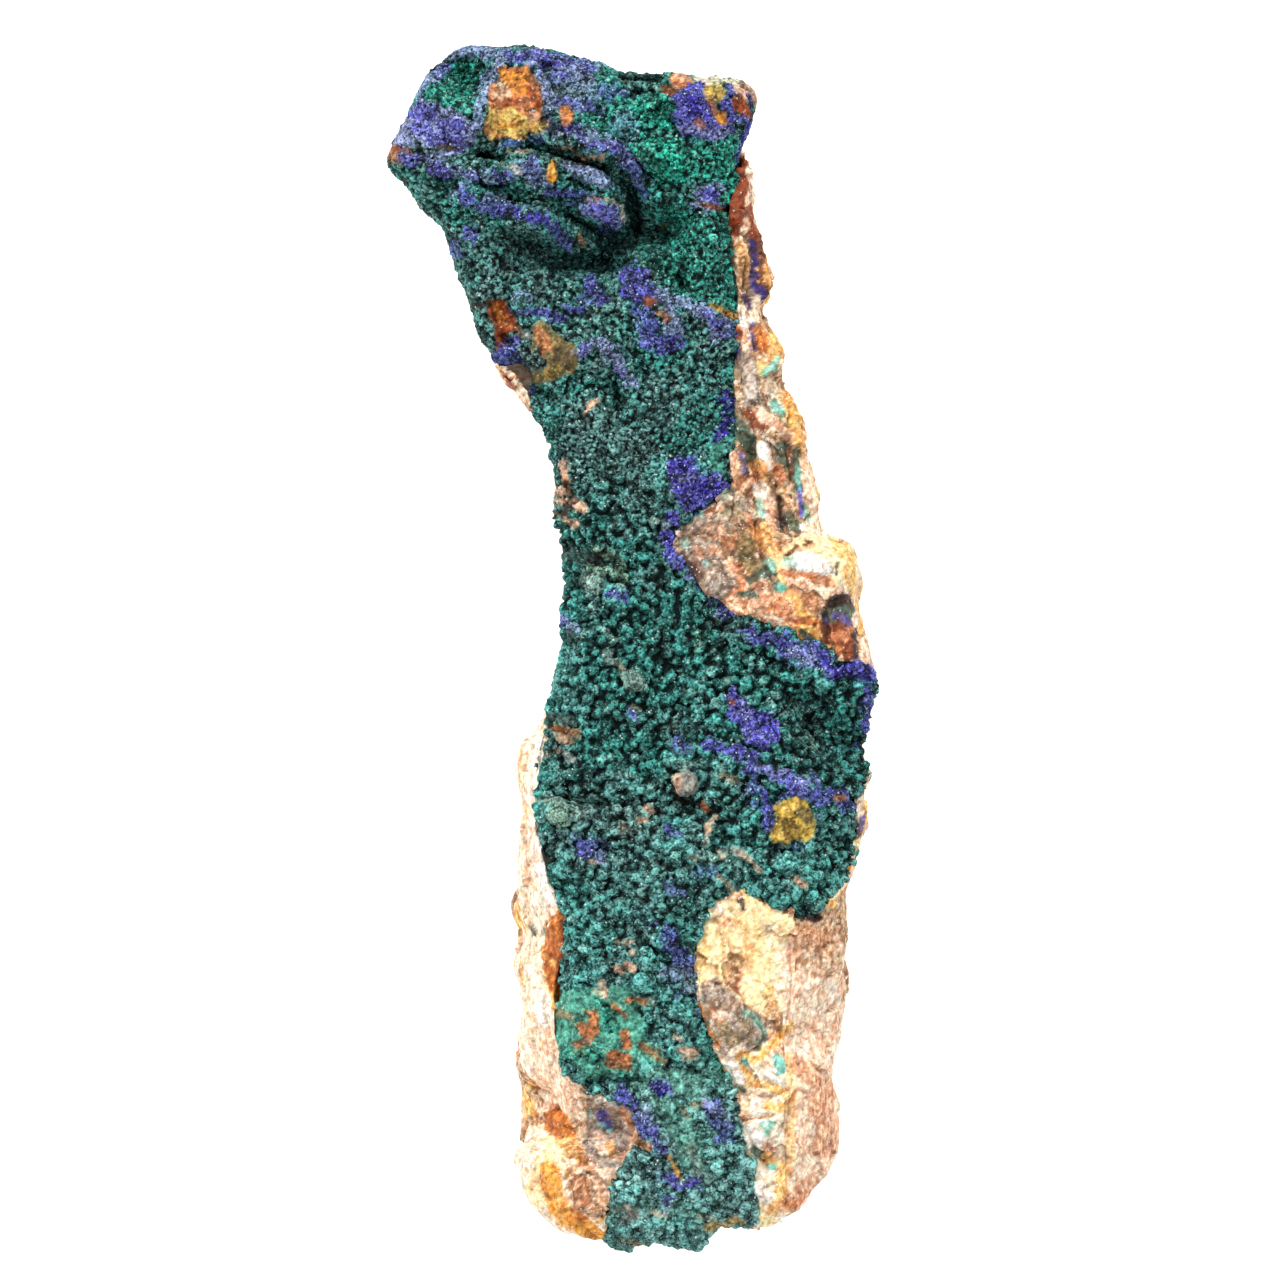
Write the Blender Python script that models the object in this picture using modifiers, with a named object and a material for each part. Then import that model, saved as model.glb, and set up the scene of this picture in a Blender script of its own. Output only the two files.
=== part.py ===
"""Azurite specimen: a broken, iron-stained quartz rock with a crust of malachite and azurite on one face.

It lies on its back with the crust up. X runs across it, Y along it towards its wide end, and Z up out of the crust.
Lengths are in millimetres until the last step, which turns the finished meshes into metres about the origin.
"""

import bmesh
import bpy
import numpy as np
from mathutils import Matrix, Vector, noise

# Driving dimensions, in millimetres.
LENGTH = 151.0
ROCK_DEPTH = 36.0
CRUST_DEPTH = 10.0
CRUST_STEP = 1.0  # how far the bare rock lies below the crust beside it
JOINT_GAP = 0.4  # between the crust and the rock that it grows on
BACK_TAPER = 6.0  # how far the sides of the rock come in towards its back
BACK_LIFT = 5.0  # how far the broken rim of the back stands clear of the flat that it rests on
TO_METRES = 0.001

# Places on the face are read from the photograph, in its pixels. These are the specimen's own ends and sides there.
TOP_ROW, FOOT_ROW = 42, 1253
LEFT_COLUMN, RIGHT_COLUMN = 386, 876
MM_PER_PIXEL = LENGTH / (FOOT_ROW - TOP_ROW)

# Edge of the crust, clockwise from the top left, in pixels.
CRUST_EDGE = [
    (455, 42), (520, 45), (560, 52), (610, 70), (680, 71), (740, 78), (754, 92), (749, 150), (738, 175),
    (733, 220), (733, 265), (738, 300), (742, 340), (738, 378), (725, 395), (725, 440), (732, 478), (704, 497),
    (680, 515), (671, 550), (690, 582), (713, 602), (738, 622), (784, 640), (834, 662), (876, 678), (874, 700),
    (868, 740), (854, 780), (846, 815), (848, 852), (842, 878), (820, 890), (808, 915), (785, 900), (745, 893),
    (712, 903), (690, 925), (684, 960), (690, 1000), (702, 1037), (722, 1080), (732, 1130), (744, 1175),
    (752, 1214), (738, 1227), (712, 1234), (703, 1253), (650, 1250), (612, 1246), (610, 1215), (618, 1190),
    (640, 1160), (648, 1130), (638, 1100), (586, 1086), (566, 1060), (560, 1020), (561, 980), (568, 935),
    (557, 890), (548, 855), (540, 820), (545, 765), (551, 712), (556, 680), (560, 640), (566, 580), (564, 540),
    (551, 515), (556, 480), (548, 442), (534, 418), (529, 398), (510, 372), (490, 352), (474, 320), (463, 280),
    (446, 240), (430, 220), (400, 180), (386, 155), (404, 120), (421, 98), (427, 78), (443, 60),
]
# Edge of the rock behind it, likewise. It keeps inside the crust's edge where the crust hides it.
ROCK_EDGE = [
    (478, 74), (600, 104), (680, 94), (720, 98), (740, 104), (744, 130), (745, 165), (752, 200),
    (758, 225), (767, 250), (770, 290), (772, 325), (778, 372), (796, 398), (802, 425), (810, 460), (816, 482),
    (819, 525), (838, 540), (858, 558), (862, 578), (858, 600), (864, 630), (866, 655), (872, 670), (868, 700),
    (862, 740), (868, 768), (865, 800), (869, 820), (858, 845), (853, 875), (843, 908), (843, 940), (848, 980),
    (846, 1005), (838, 1038), (831, 1066), (837, 1115), (832, 1162), (819, 1180), (804, 1200), (775, 1222),
    (758, 1234), (735, 1220), (700, 1230), (650, 1232), (592, 1240), (549, 1220), (536, 1203), (521, 1188),
    (520, 1120), (517, 1060), (525, 1012), (515, 965), (514, 910), (522, 830), (519, 780), (521, 745),
    (548, 722), (562, 690), (572, 640), (576, 580), (562, 520), (564, 470), (545, 440), (528, 408), (505, 388),
    (494, 366), (500, 345), (488, 320), (474, 270), (457, 242), (428, 198), (414, 162), (432, 126), (454, 94),
]

# Heights above the resting plane at rows of the photograph: the crust's face, and the bed that it grows on.
STATION_ROWS = [42, 120, 200, 290, 380, 480, 580, 680, 790, 900, 1000, 1100, 1180, 1253]
FACE_HEIGHTS = [35.0, 37.0, 37.5, 38.0, 38.3, 39.2, 40.0, 40.6, 41.2, 42.0, 42.4, 42.5, 42.0, 40.5]
BED_HEIGHTS = [26.0, 27.2, 26.2, 28.6, 31.6, 33.8, 33.2, 35.0, 34.4, 36.2, 35.4, 36.8, 35.6, 34.2]

# Where the bare rock's face ends in a shoulder at the right, down the photograph.
SHOULDER_ROWS = [160, 250, 330, 400, 470, 520, 560, 660, 780, 880, 930, 1010, 1080, 1150, 1235]
SHOULDER_COLUMNS = [738, 748, 756, 772, 788, 800, 836, 850, 856, 838, 804, 788, 782, 792, 772]

# Relief of the crust: from pixel, to pixel, half-width and height in millimetres. Hollows have a negative height.
LEDGES = [
    ((455, 48), (428, 90), 2.0, 1.4),
    ((424, 94), (480, 108), 2.3, 2.2),
    ((397, 140), (470, 120), 3.2, 1.8),
    ((556, 126), (634, 162), 2.9, 3.2),
    ((634, 162), (656, 200), 2.6, 2.2),
    ((523, 162), (616, 200), 4.0, 4.2),
    ((440, 169), (513, 173), 2.4, 2.2),
    ((470, 197), (541, 217), 2.6, 3.0),
    ((541, 217), (584, 242), 2.4, 2.6),
    ((640, 148), (672, 160), 2.8, 2.6),
    ((652, 104), (676, 112), 2.6, 2.2),
    ((690, 105), (738, 108), 4.4, 2.0),
    ((690, 170), (725, 150), 3.2, 1.4),
    ((575, 354), (606, 344), 1.6, 1.3),
    ((606, 344), (632, 386), 1.6, 1.3),
    ((636, 286), (664, 318), 3.2, 1.5),
    ((664, 318), (722, 312), 2.8, 1.3),
    ((664, 318), (662, 346), 3.0, 1.1),
    ((700, 742), (800, 787), 2.3, 1.4),
    ((800, 787), (846, 806), 2.0, 1.2),
    ((730, 700), (772, 734), 3.6, 1.2),
    ((548, 812), (650, 818), 1.6, 1.1),
    ((600, 575), (616, 598), 3.0, 1.2),
    ((740, 630), (870, 682), 2.0, 0.9),
    ((650, 1128), (690, 1184), 2.2, 1.0),
    ((580, 1020), (620, 1052), 3.2, 1.0),
    ((700, 1100), (712, 1150), 3.4, 1.0),
]
LUMPS = [
    ((515, 101), (515, 101), 5.0, 2.0),
    ((500, 228), (500, 228), 3.2, 1.2),
    ((620, 120), (620, 120), 3.2, 1.4),
    ((713, 240), (713, 240), 3.6, 1.3),
    ((552, 352), (552, 352), 4.2, 1.4),
    ((522, 300), (522, 300), 2.4, 1.4),
    ((683, 783), (683, 783), 2.2, 1.6),
    ((556, 812), (556, 812), 2.2, 1.5),
    ((634, 678), (634, 678), 2.0, 1.2),
    ((792, 822), (792, 822), 4.2, 1.2),
    ((571, 470), (575, 505), 2.0, 1.3),
    ((640, 980), (640, 980), 2.2, 1.4),
    ((562, 872), (562, 872), 1.8, 1.3),
]
HOLLOWS = [
    ((456, 72), (470, 72), 4.2, -3.2),
    ((478, 155), (494, 155), 1.8, -3.6),
    ((524, 144), (594, 163), 1.5, -4.6),
    ((628, 178), (640, 214), 3.8, -6.0),
    ((530, 250), (600, 258), 4.0, -5.2),
    ((600, 258), (668, 230), 4.4, -4.2),
    ((668, 230), (690, 214), 2.4, -2.4),
    ((620, 142), (670, 184), 1.8, -3.6),
    ((566, 208), (608, 228), 2.0, -3.8),
    ((478, 184), (500, 184), 1.5, -2.4),
    ((503, 198), (525, 203), 1.6, -2.6),
    ((640, 90), (655, 88), 2.2, -2.2),
    ((575, 182), (590, 190), 1.4, -2.0),
    ((680, 278), (682, 280), 1.7, -2.0),
    ((617, 366), (620, 408), 1.6, -2.0),
    ((503, 306), (508, 340), 2.6, -2.2),
    ((572, 486), (574, 530), 1.5, -1.6),
    ((552, 796), (598, 804), 1.6, -1.1),
    ((604, 806), (655, 796), 1.5, -0.9),
    ((808, 708), (840, 752), 4.8, -2.8),
    ((840, 840), (832, 870), 3.0, -1.8),
    ((584, 1084), (640, 1078), 1.8, -1.8),
    ((600, 880), (640, 930), 3.4, -1.2),
    ((700, 880), (760, 884), 1.8, -1.2),
    ((690, 1070), (716, 1070), 2.0, -1.2),
    ((570, 590), (575, 610), 1.8, -1.2),
]
# Knobs of the bare rock, likewise.
ROCK_KNOBS = [
    ((806, 566), (822, 572), 7.0, 2.4),
    ((712, 560), (740, 590), 7.0, 1.6),
    ((770, 505), (790, 520), 4.0, -1.6),
    ((782, 415), (790, 445), 4.0, 1.4),
    ((738, 420), (748, 430), 3.4, -1.8),
    ((752, 345), (760, 375), 3.4, 1.4),
    ((744, 200), (742, 235), 2.6, 1.2),
    ((835, 625), (845, 655), 4.0, 1.2),
    ((790, 640), (812, 652), 3.0, -1.4),
    ((575, 1200), (590, 1215), 6.0, 1.8),
    ((606, 1120), (615, 1150), 5.0, -0.8),
    ((730, 968), (738, 985), 2.6, -1.2),
    ((700, 1020), (745, 1052), 2.6, 1.4),
    ((760, 1150), (766, 1170), 2.6, -2.0),
    ((745, 1085), (748, 1100), 2.4, -1.4),
    ((800, 908), (812, 916), 2.2, -2.4),
    ((553, 1115), (553, 1135), 2.8, -2.6),
]

SHOULDER_FALL = 1.2  # how steeply the rock's right flank falls away beyond its shoulder
LEFT_FALL = 2.1  # and its left flank beyond the crust
CRUST_NET, ROCK_NET = 0.9, 1.2
CRUST_TRIANGLES, ROCK_TRIANGLES = 5600, 4000


def clear_scene():
    for old in list(bpy.data.objects):
        bpy.data.objects.remove(old, do_unlink=True)


def placed(pixels):
    """Points of the photograph as millimetres from the middle of the face."""
    middle = np.array([(LEFT_COLUMN + RIGHT_COLUMN) / 2, (TOP_ROW + FOOT_ROW) / 2])
    return (np.asarray(pixels, float) - middle) * (MM_PER_PIXEL, -MM_PER_PIXEL)


def at_stations(y, heights):
    """Heights between the stations along the length, which run down the photograph."""
    rows = placed([(LEFT_COLUMN, row) for row in STATION_ROWS])[:, 1]
    return np.interp(y, rows[::-1], heights[::-1])


def grown(edge, distance):
    """A closed outline moved outwards by a distance. The outlines here run clockwise."""
    before, after = np.roll(edge, 1, 0), np.roll(edge, -1, 0)
    along = after - before
    outward = np.stack([-along[:, 1], along[:, 0]], 1) / np.linalg.norm(along, axis=1)[:, None]
    return edge + distance * outward


def edge_distance(points, edge):
    """How far inside a closed outline each point lies, and the way inwards from the outline near it."""
    least = np.full(len(points), np.inf)
    way = np.zeros((len(points), 2))
    inside = np.zeros(len(points), bool)
    for start, end in zip(edge, np.roll(edge, -1, 0)):
        side = end - start
        length = np.linalg.norm(side)
        share = np.clip((points - start) @ side / length**2, 0, 1)
        gap = np.linalg.norm(points - start - share[:, None] * side, axis=1)
        least = np.minimum(least, gap)
        way += np.array([side[1], -side[0]]) / (gap**2 + 1.0)[:, None] ** 2
        spans = (start[1] > points[:, 1]) != (end[1] > points[:, 1])
        rise = side[1] if abs(side[1]) > 1e-9 else 1e-9
        inside ^= spans & (points[:, 0] < start[0] + (points[:, 1] - start[1]) / rise * side[0])
    way /= np.maximum(np.linalg.norm(way, axis=1), 1e-9)[:, None]
    return np.where(inside, least, -least), way


def strokes(points, table):
    """The height that a table of ridges, lumps or hollows adds at each point."""
    total = np.zeros(len(points))
    for start, end, half_width, height in table:
        start, end = placed([start, end])
        side = end - start
        share = np.clip((points - start) @ side / max(side @ side, 1e-9), 0, 1)
        gap = np.linalg.norm(points - start - share[:, None] * side, axis=1) / half_width
        total += height * np.where(gap < 1, (1 - gap**2) ** 2, 0)
    return total


def rough(points, grain, octaves=3):
    """Fractal roughness from about -1 to 1, whose largest features are one grain across."""
    return np.array([noise.fractal(Vector(p / grain), 1.0, 2.0, octaves) for p in points])


def domes(points, size):
    """Packed round lumps, 1 at the top of each and 0 in the creases between them."""
    nearest = np.array([noise.voronoi(Vector(p / size))[0][0] for p in points])
    return np.sqrt(np.clip(1 - (nearest / 0.75) ** 2, 0, 1))


def facets(points, size, tilt):
    """Broken flats about one size across, each tilted its own way, that meet in blunt edges."""
    heights = []
    for p in points:
        here = Vector(p / size)
        flats = [(here - c).dot(noise.cell_vector(c) - Vector((0.5, 0.5, 0.5))) for c in noise.voronoi(here)[1]]
        heights.append(min(flats))
    return (np.array(heights) + 0.35) * size * tilt


def rounding(inside, radius):
    """How far an edge of that radius has fallen at a distance inside the outline."""
    rest = np.clip(radius - inside, 0, radius)
    return radius - np.sqrt(radius**2 - rest**2)


def smooth_step(low, high, value):
    share = np.clip((value - low) / (high - low), 0, 1)
    return share * share * (3 - 2 * share)


def slab(name, edge, depth, net):
    """A flat slab with that outline, from 0 to its depth, as an even net of small quads."""
    curve = bpy.data.curves.new(name, "CURVE")
    curve.dimensions = "2D"
    curve.fill_mode = "BOTH"
    curve.extrude = depth / 2
    spline = curve.splines.new("POLY")
    spline.points.add(len(edge) - 1)
    for point, (x, y) in zip(spline.points, edge):
        point.co = (x, y, 0, 1)
    spline.use_cyclic_u = True
    helper = bpy.data.objects.new(name + "_outline", curve)
    bpy.context.scene.collection.objects.link(helper)
    bpy.context.view_layer.update()
    mesh = bpy.data.meshes.new_from_object(helper.evaluated_get(bpy.context.evaluated_depsgraph_get()))
    bpy.data.objects.remove(helper)
    shape = bmesh.new()
    shape.from_mesh(mesh)
    bmesh.ops.remove_doubles(shape, verts=shape.verts, dist=0.001)
    bmesh.ops.translate(shape, verts=shape.verts, vec=(0, 0, depth / 2))
    bmesh.ops.recalc_face_normals(shape, faces=shape.faces)
    shape.to_mesh(mesh)
    shape.free()
    obj = bpy.data.objects.new(name, mesh)
    bpy.context.scene.collection.objects.link(obj)
    if net:
        evened(obj, net)
    return obj


def evened(obj, net):
    """The same shape as an even net of small quads."""
    remesh = obj.modifiers.new("Even net", "REMESH")
    remesh.mode = "VOXEL"
    remesh.voxel_size = net
    keep_evaluated(obj)


def keep_evaluated(obj):
    """Makes the object's modifiers part of its mesh."""
    bpy.context.view_layer.update()
    mesh = bpy.data.meshes.new_from_object(obj.evaluated_get(bpy.context.evaluated_depsgraph_get()))
    obj.modifiers.clear()
    obj.data = mesh


def vertices(mesh, kind="co"):
    values = np.empty(len(mesh.vertices) * 3)
    if kind == "co":
        mesh.vertices.foreach_get("co", values)
    else:
        mesh.vertex_normals.foreach_get("vector", values)
    return values.reshape(-1, 3)


def set_vertices(mesh, places):
    mesh.vertices.foreach_set("co", places.ravel())
    mesh.update()


def thinned(obj, triangles):
    """Fewer triangles, kept where the shape turns most."""
    obj.data.calc_loop_triangles()
    thin = obj.modifiers.new("Fewer faces", "DECIMATE")
    thin.ratio = triangles / len(obj.data.loop_triangles)
    keep_evaluated(obj)


def material(name, colour, roughness):
    made = bpy.data.materials.new(name)
    made.use_nodes = True
    shader = made.node_tree.nodes["Principled BSDF"]
    shader.inputs["Base Color"].default_value = (*colour, 1)
    shader.inputs["Roughness"].default_value = roughness
    made.diffuse_color = (*colour, 1)
    return made


def crust_face(points):
    """Height of the crust's face at each point."""
    face = at_stations(points[:, 1], FACE_HEIGHTS)
    return face + strokes(points, LEDGES) + strokes(points, LUMPS) + strokes(points, HOLLOWS)


def make_crust():
    """Malachite and azurite that grew together as one lumpy sheet, 5 to 10 mm thick, with ledges and hollows."""
    edge = placed(CRUST_EDGE)
    crust = slab("azurite_malachite_crust", edge, CRUST_DEPTH, CRUST_NET)
    flat = vertices(crust.data)
    inside, way = edge_distance(flat[:, :2], edge)
    up = np.clip(flat[:, 2] / CRUST_DEPTH, 0, 1)
    bed = at_stations(flat[:, 1], BED_HEIGHTS)
    beside_rock = edge_distance(flat[:, :2], placed(ROCK_EDGE))[0] - inside
    face = crust_face(flat[:, :2]) - rounding(inside, 4.0 - 2.8 * smooth_step(0.3, 2.0, beside_rock))
    lumps = domes(flat, 4.4) * 1.2 + rough(flat, 9.0) * 0.7 - 0.8
    places = flat.copy()
    places[:, 2] = bed + up * (np.maximum(face + lumps, bed + 1.5) - bed)
    notch = np.clip(rough(flat + 40.0, 5.0) * 1.1 + 0.1, 0, 1.4) * smooth_step(2.0, 0.0, inside) * up
    places[:, :2] += way * notch[:, None]
    set_vertices(crust.data, places)
    thinned(crust, CRUST_TRIANGLES)
    places = vertices(crust.data)
    bed = at_stations(places[:, 1], BED_HEIGHTS)
    places[:, 2] = np.where(places[:, 2] < bed + 0.4, bed, places[:, 2])
    set_vertices(crust.data, places)
    crust.data.materials.append(material("malachite and azurite", (0.02, 0.12, 0.09), 0.45))
    return crust


def bed_cutter():
    """The room that the crust takes out of the rock: its outline and its bed, each grown by the gap."""
    cutter = slab("crust_bed", grown(placed(CRUST_EDGE), JOINT_GAP), 2 * ROCK_DEPTH, 0)
    shape = bmesh.new()
    shape.from_mesh(cutter.data)
    for row in STATION_ROWS[1:-1]:
        y = placed([(0, row)])[0, 1]
        everything = [*shape.verts, *shape.edges, *shape.faces]
        bmesh.ops.bisect_plane(shape, geom=everything, plane_co=(0, y, 0), plane_no=(0, 1, 0), dist=0.001)
    for vertex in shape.verts:
        if vertex.co.z < ROCK_DEPTH:
            vertex.co.z = at_stations(vertex.co.y, BED_HEIGHTS) - JOINT_GAP
    shape.to_mesh(cutter.data)
    shape.free()
    cutter.hide_render = True
    cutter.display_type = "WIRE"
    return cutter


def rock_front(points, inside_rock):
    """Height of the bare rock's front: a face at the right of the crust, and steep flanks beyond it and at the left."""
    inside_crust, way = edge_distance(points, placed(CRUST_EDGE))
    out = np.clip(-inside_crust, 0, None)
    leftward = smooth_step(0.3, 0.8, way[:, 0]) * smooth_step(-66.0, -56.0, points[:, 1])
    line = placed(np.stack([SHOULDER_COLUMNS, SHOULDER_ROWS], 1))
    shoulder = np.interp(points[:, 1], line[::-1, 1], line[::-1, 0])
    beyond = np.clip(points[:, 0] - shoulder, 0, None)
    rightward = 0.1 * out + SHOULDER_FALL * beyond**2 / (beyond + 1.0)
    fall = leftward * LEFT_FALL * out + (1 - leftward) * rightward
    face = at_stations(points[:, 1], FACE_HEIGHTS) - CRUST_STEP - fall
    return face + strokes(points, ROCK_KNOBS) - rounding(inside_rock, 2.5)


def make_rock(cutter):
    """The limonite and quartz rock that carries the crust, broken all round, with a flat fracture to lie on."""
    edge = placed(ROCK_EDGE)
    rock = slab("host_rock", edge, ROCK_DEPTH, ROCK_NET)
    flat = vertices(rock.data)
    inside, way = edge_distance(flat[:, :2], edge)
    up = np.clip(flat[:, 2] / ROCK_DEPTH, 0, 1)
    front = rock_front(flat[:, :2], inside)
    back = BACK_LIFT * smooth_step(9.0, 0.0, inside) ** 1.5 + 1.2 * rough(flat + 90.0, 16.0) - 1.4
    places = flat.copy()
    places[:, 2] = back + up * (front - back)
    broken = flat * (1, 1, 0.6) + 20.0
    tuck = (1 - up) ** 1.3 * (BACK_TAPER + 0.5 * BACK_TAPER * rough(broken, 26.0, 2))
    places[:, :2] += way * (tuck * smooth_step(16.0, 0.0, inside))[:, None]
    set_vertices(rock.data, places)
    normals = vertices(rock.data, "normal")
    calm = 1 - 0.6 * smooth_step(0.5, 0.9, normals[:, 2])
    wave = facets(places, 11.0, 0.42) * calm + facets(places + 50.0, 4.5, 0.3)
    places += normals * wave[:, None]
    set_vertices(rock.data, places)
    evened(rock, ROCK_NET)
    lie_flat(rock.data, 0)
    thinned(rock, ROCK_TRIANGLES)
    lie_flat(rock.data, 0.3)
    cut = rock.modifiers.new("Bed of the crust", "BOOLEAN")
    cut.operation = "DIFFERENCE"
    cut.object = cutter
    rock.data.materials.append(material("iron-stained rock", (0.62, 0.42, 0.22), 0.8))
    return rock


def lie_flat(mesh, least):
    """Levels what lies lower than a height, at 0: the flat fracture that the specimen lies on."""
    places = vertices(mesh)
    places[:, 2] = np.where(places[:, 2] < least, 0, places[:, 2])
    set_vertices(mesh, places)


def to_metres(objects):
    """Real size in metres, with the origin at the middle of the whole specimen's box."""
    everything = np.concatenate([vertices(o.data) for o in objects])
    middle = (everything.min(0) + everything.max(0)) / 2
    middle[2] = 0
    for o in objects:
        o.data.transform(Matrix.Scale(TO_METRES, 4) @ Matrix.Translation(-Vector(middle)))


def main():
    clear_scene()
    specimen = bpy.data.collections.new("Azurite specimen")
    cutters = bpy.data.collections.new("Cutters")
    for collection in (specimen, cutters):
        bpy.context.scene.collection.children.link(collection)
    cutter = bed_cutter()
    crust = make_crust()
    rock = make_rock(cutter)
    to_metres([crust, rock, cutter])
    for obj, collection in ((crust, specimen), (rock, specimen), (cutter, cutters)):
        bpy.context.scene.collection.objects.unlink(obj)
        collection.objects.link(obj)


main()
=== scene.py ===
import bmesh
import bpy
import numpy as np
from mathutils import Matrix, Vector, bvhtree, noise


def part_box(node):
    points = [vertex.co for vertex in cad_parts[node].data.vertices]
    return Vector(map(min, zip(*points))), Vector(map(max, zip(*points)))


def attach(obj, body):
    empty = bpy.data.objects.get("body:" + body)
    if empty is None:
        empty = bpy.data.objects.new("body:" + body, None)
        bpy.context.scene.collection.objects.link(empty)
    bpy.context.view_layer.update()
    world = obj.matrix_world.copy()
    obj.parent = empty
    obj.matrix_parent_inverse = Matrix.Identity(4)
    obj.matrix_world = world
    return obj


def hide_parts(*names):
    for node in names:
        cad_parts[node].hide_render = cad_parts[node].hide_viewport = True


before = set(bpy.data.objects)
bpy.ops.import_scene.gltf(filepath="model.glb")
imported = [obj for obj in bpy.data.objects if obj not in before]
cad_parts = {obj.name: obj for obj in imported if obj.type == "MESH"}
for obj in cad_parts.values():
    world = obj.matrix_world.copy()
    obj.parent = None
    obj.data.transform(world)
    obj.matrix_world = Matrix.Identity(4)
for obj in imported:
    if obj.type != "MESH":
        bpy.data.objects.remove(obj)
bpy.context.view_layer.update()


# The host rock: a long block of quartz, veined and stained with limonite, that broke off on every side. It is
# one natural piece. It lies on a level fracture at its back, and the ore grew on its front.
MM = 0.001
CRUST, ROCK = "azurite_malachite_crust", "host_rock"
PHOTO_TOP, PHOTO_FOOT, PHOTO_LEFT, PHOTO_RIGHT = 42, 1253, 386, 876
crust_low, crust_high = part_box(CRUST)
PIXEL = (crust_high.y - crust_low.y) / MM / (PHOTO_FOOT - PHOTO_TOP)


def photo_pixels(points):
    """Where points of the specimen, in millimetres, show in the photograph."""
    middle = (crust_low + crust_high) / 2 / MM
    across = (PHOTO_LEFT + PHOTO_RIGHT) / 2 + (points[..., 0] - middle.x) / PIXEL
    down = (PHOTO_TOP + PHOTO_FOOT) / 2 - (points[..., 1] - middle.y) / PIXEL
    return np.stack([across, down], -1)


def evened(shape, name, net):
    """A new piece whose closed skin follows the shape in an even net."""
    piece = bpy.data.objects.new(name, bpy.data.meshes.new(name))
    shape.to_mesh(piece.data)
    bpy.context.scene.collection.objects.link(piece)
    even = piece.modifiers.new("Even net", "REMESH")
    even.mode = "VOXEL"
    even.voxel_size = net
    bpy.context.view_layer.update()
    piece.data = bpy.data.meshes.new_from_object(piece.evaluated_get(bpy.context.evaluated_depsgraph_get()))
    piece.modifiers.clear()
    piece.data.name = name
    return piece


def netted(name, node, net, steeps, shade=None):
    """A new piece on a CAD solid, in millimetres. Its even net is halved once for each steepness, where faces
    look up more than that and nothing shades them."""
    shape = bmesh.new()
    shape.from_mesh(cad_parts[node].data)
    bmesh.ops.remove_doubles(shape, verts=shape.verts, dist=1e-7)
    bmesh.ops.scale(shape, vec=(1 / MM,) * 3, verts=shape.verts)
    piece = evened(shape, name, net)
    shape.clear()
    shape.from_mesh(piece.data)
    for steep, smoothings in zip((*steeps, None), SMOOTHINGS):
        for _ in range(smoothings):
            bmesh.ops.smooth_vert(
                shape, verts=shape.verts, factor=0.5, use_axis_x=True, use_axis_y=True, use_axis_z=True
            )
        shape.normal_update()
        if steep is not None:
            seen = [f for f in shape.faces if f.normal.z > steep]
            if shade:
                seen = [f for f in seen if shade.ray_cast(f.calc_center_median(), (0, 0, 1))[0] is None]
            edges = list({e for f in seen for e in f.edges})
            bmesh.ops.subdivide_edges(shape, edges=edges, cuts=1, use_grid_fill=True)
    shape.to_mesh(piece.data)
    shape.free()
    piece.data.shade_smooth()
    return piece


def surface(piece):
    """The places of the piece's vertices and the ways that they face."""
    count = len(piece.data.vertices)
    places, facing = np.empty(count * 3), np.empty(count * 3)
    piece.data.vertices.foreach_get("co", places)
    piece.data.vertex_normals.foreach_get("vector", facing)
    return places.reshape(-1, 3), facing.reshape(-1, 3)


def moved(piece, places):
    """Puts the piece's vertices there, and returns the surface that they make."""
    piece.data.vertices.foreach_set("co", places.ravel())
    piece.data.update()
    return surface(piece)


def pulled(piece, pulls):
    """Steps the piece's skin sideways with the pulls near it."""
    places = surface(piece)[0]
    pixels = photo_pixels(places)
    step, weight = np.zeros((len(places), 3)), np.zeros(len(places))
    for x, y, across, down in pulls:
        near = np.exp(-((pixels - (x, y)) ** 2).sum(1) / PULL_REACH**2)
        step += near[:, None] * (across, -down, 0)
        weight += near
    return moved(piece, places + PIXEL * step / np.maximum(weight, 1)[:, None])


def averaged(piece, values, times):
    """Numbers kept for the piece's vertices, each averaged with its neighbours that many times."""
    ends = np.empty(len(piece.data.edges) * 2, int)
    piece.data.edges.foreach_get("vertices", ends)
    beside = ends.reshape(-1, 2)[:, ::-1].ravel()
    for _ in range(times):
        values = (values + np.bincount(ends, values[beside])) / (1 + np.bincount(ends))
    return values


def risen(pixels, edge, folds):
    """How far the folds lift each place. A fold is its height, half-width and corners. Its edge slopes."""
    lift = np.zeros(len(pixels))
    for height, half_width, *path in folds:
        lift += height * ease(-edge, edge, reach(pixels, half_width, path))
    return lift


def rough(points, grain, octaves=3):
    """Fractal roughness from about -1 to 1, whose largest features are one grain across."""
    return np.array([noise.fractal(p, 1.0, 2.0, octaves) for p in (points / grain).tolist()])


def packed(points, size):
    """The four nearest middles of a random packing of that size, and a lot from 0 to 1 for each of them."""
    middles = np.array([noise.voronoi(p)[1] for p in (points / size).tolist()])
    lots = np.abs(np.sin(middles @ SCRAMBLE_WAY) * SCRAMBLE) % 1
    return middles * size, lots


def broken(points, size):
    """Broken flats about one size across, each tilted its own way, that meet in blunt edges."""
    middles, lots = packed(points, size)
    way = np.stack([lots, lots * 7.3 % 1, lots * 13.7 % 1], 2) - 0.5
    return ((points[:, None] - middles) * way).sum(2).min(1)


def ease(low, high, value):
    """0 at the low value and 1 at the high one, which may be the smaller of them, and eased in between."""
    share = np.clip((value - low) / (high - low), 0, 1)
    return share * share * (3 - 2 * share)


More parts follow.
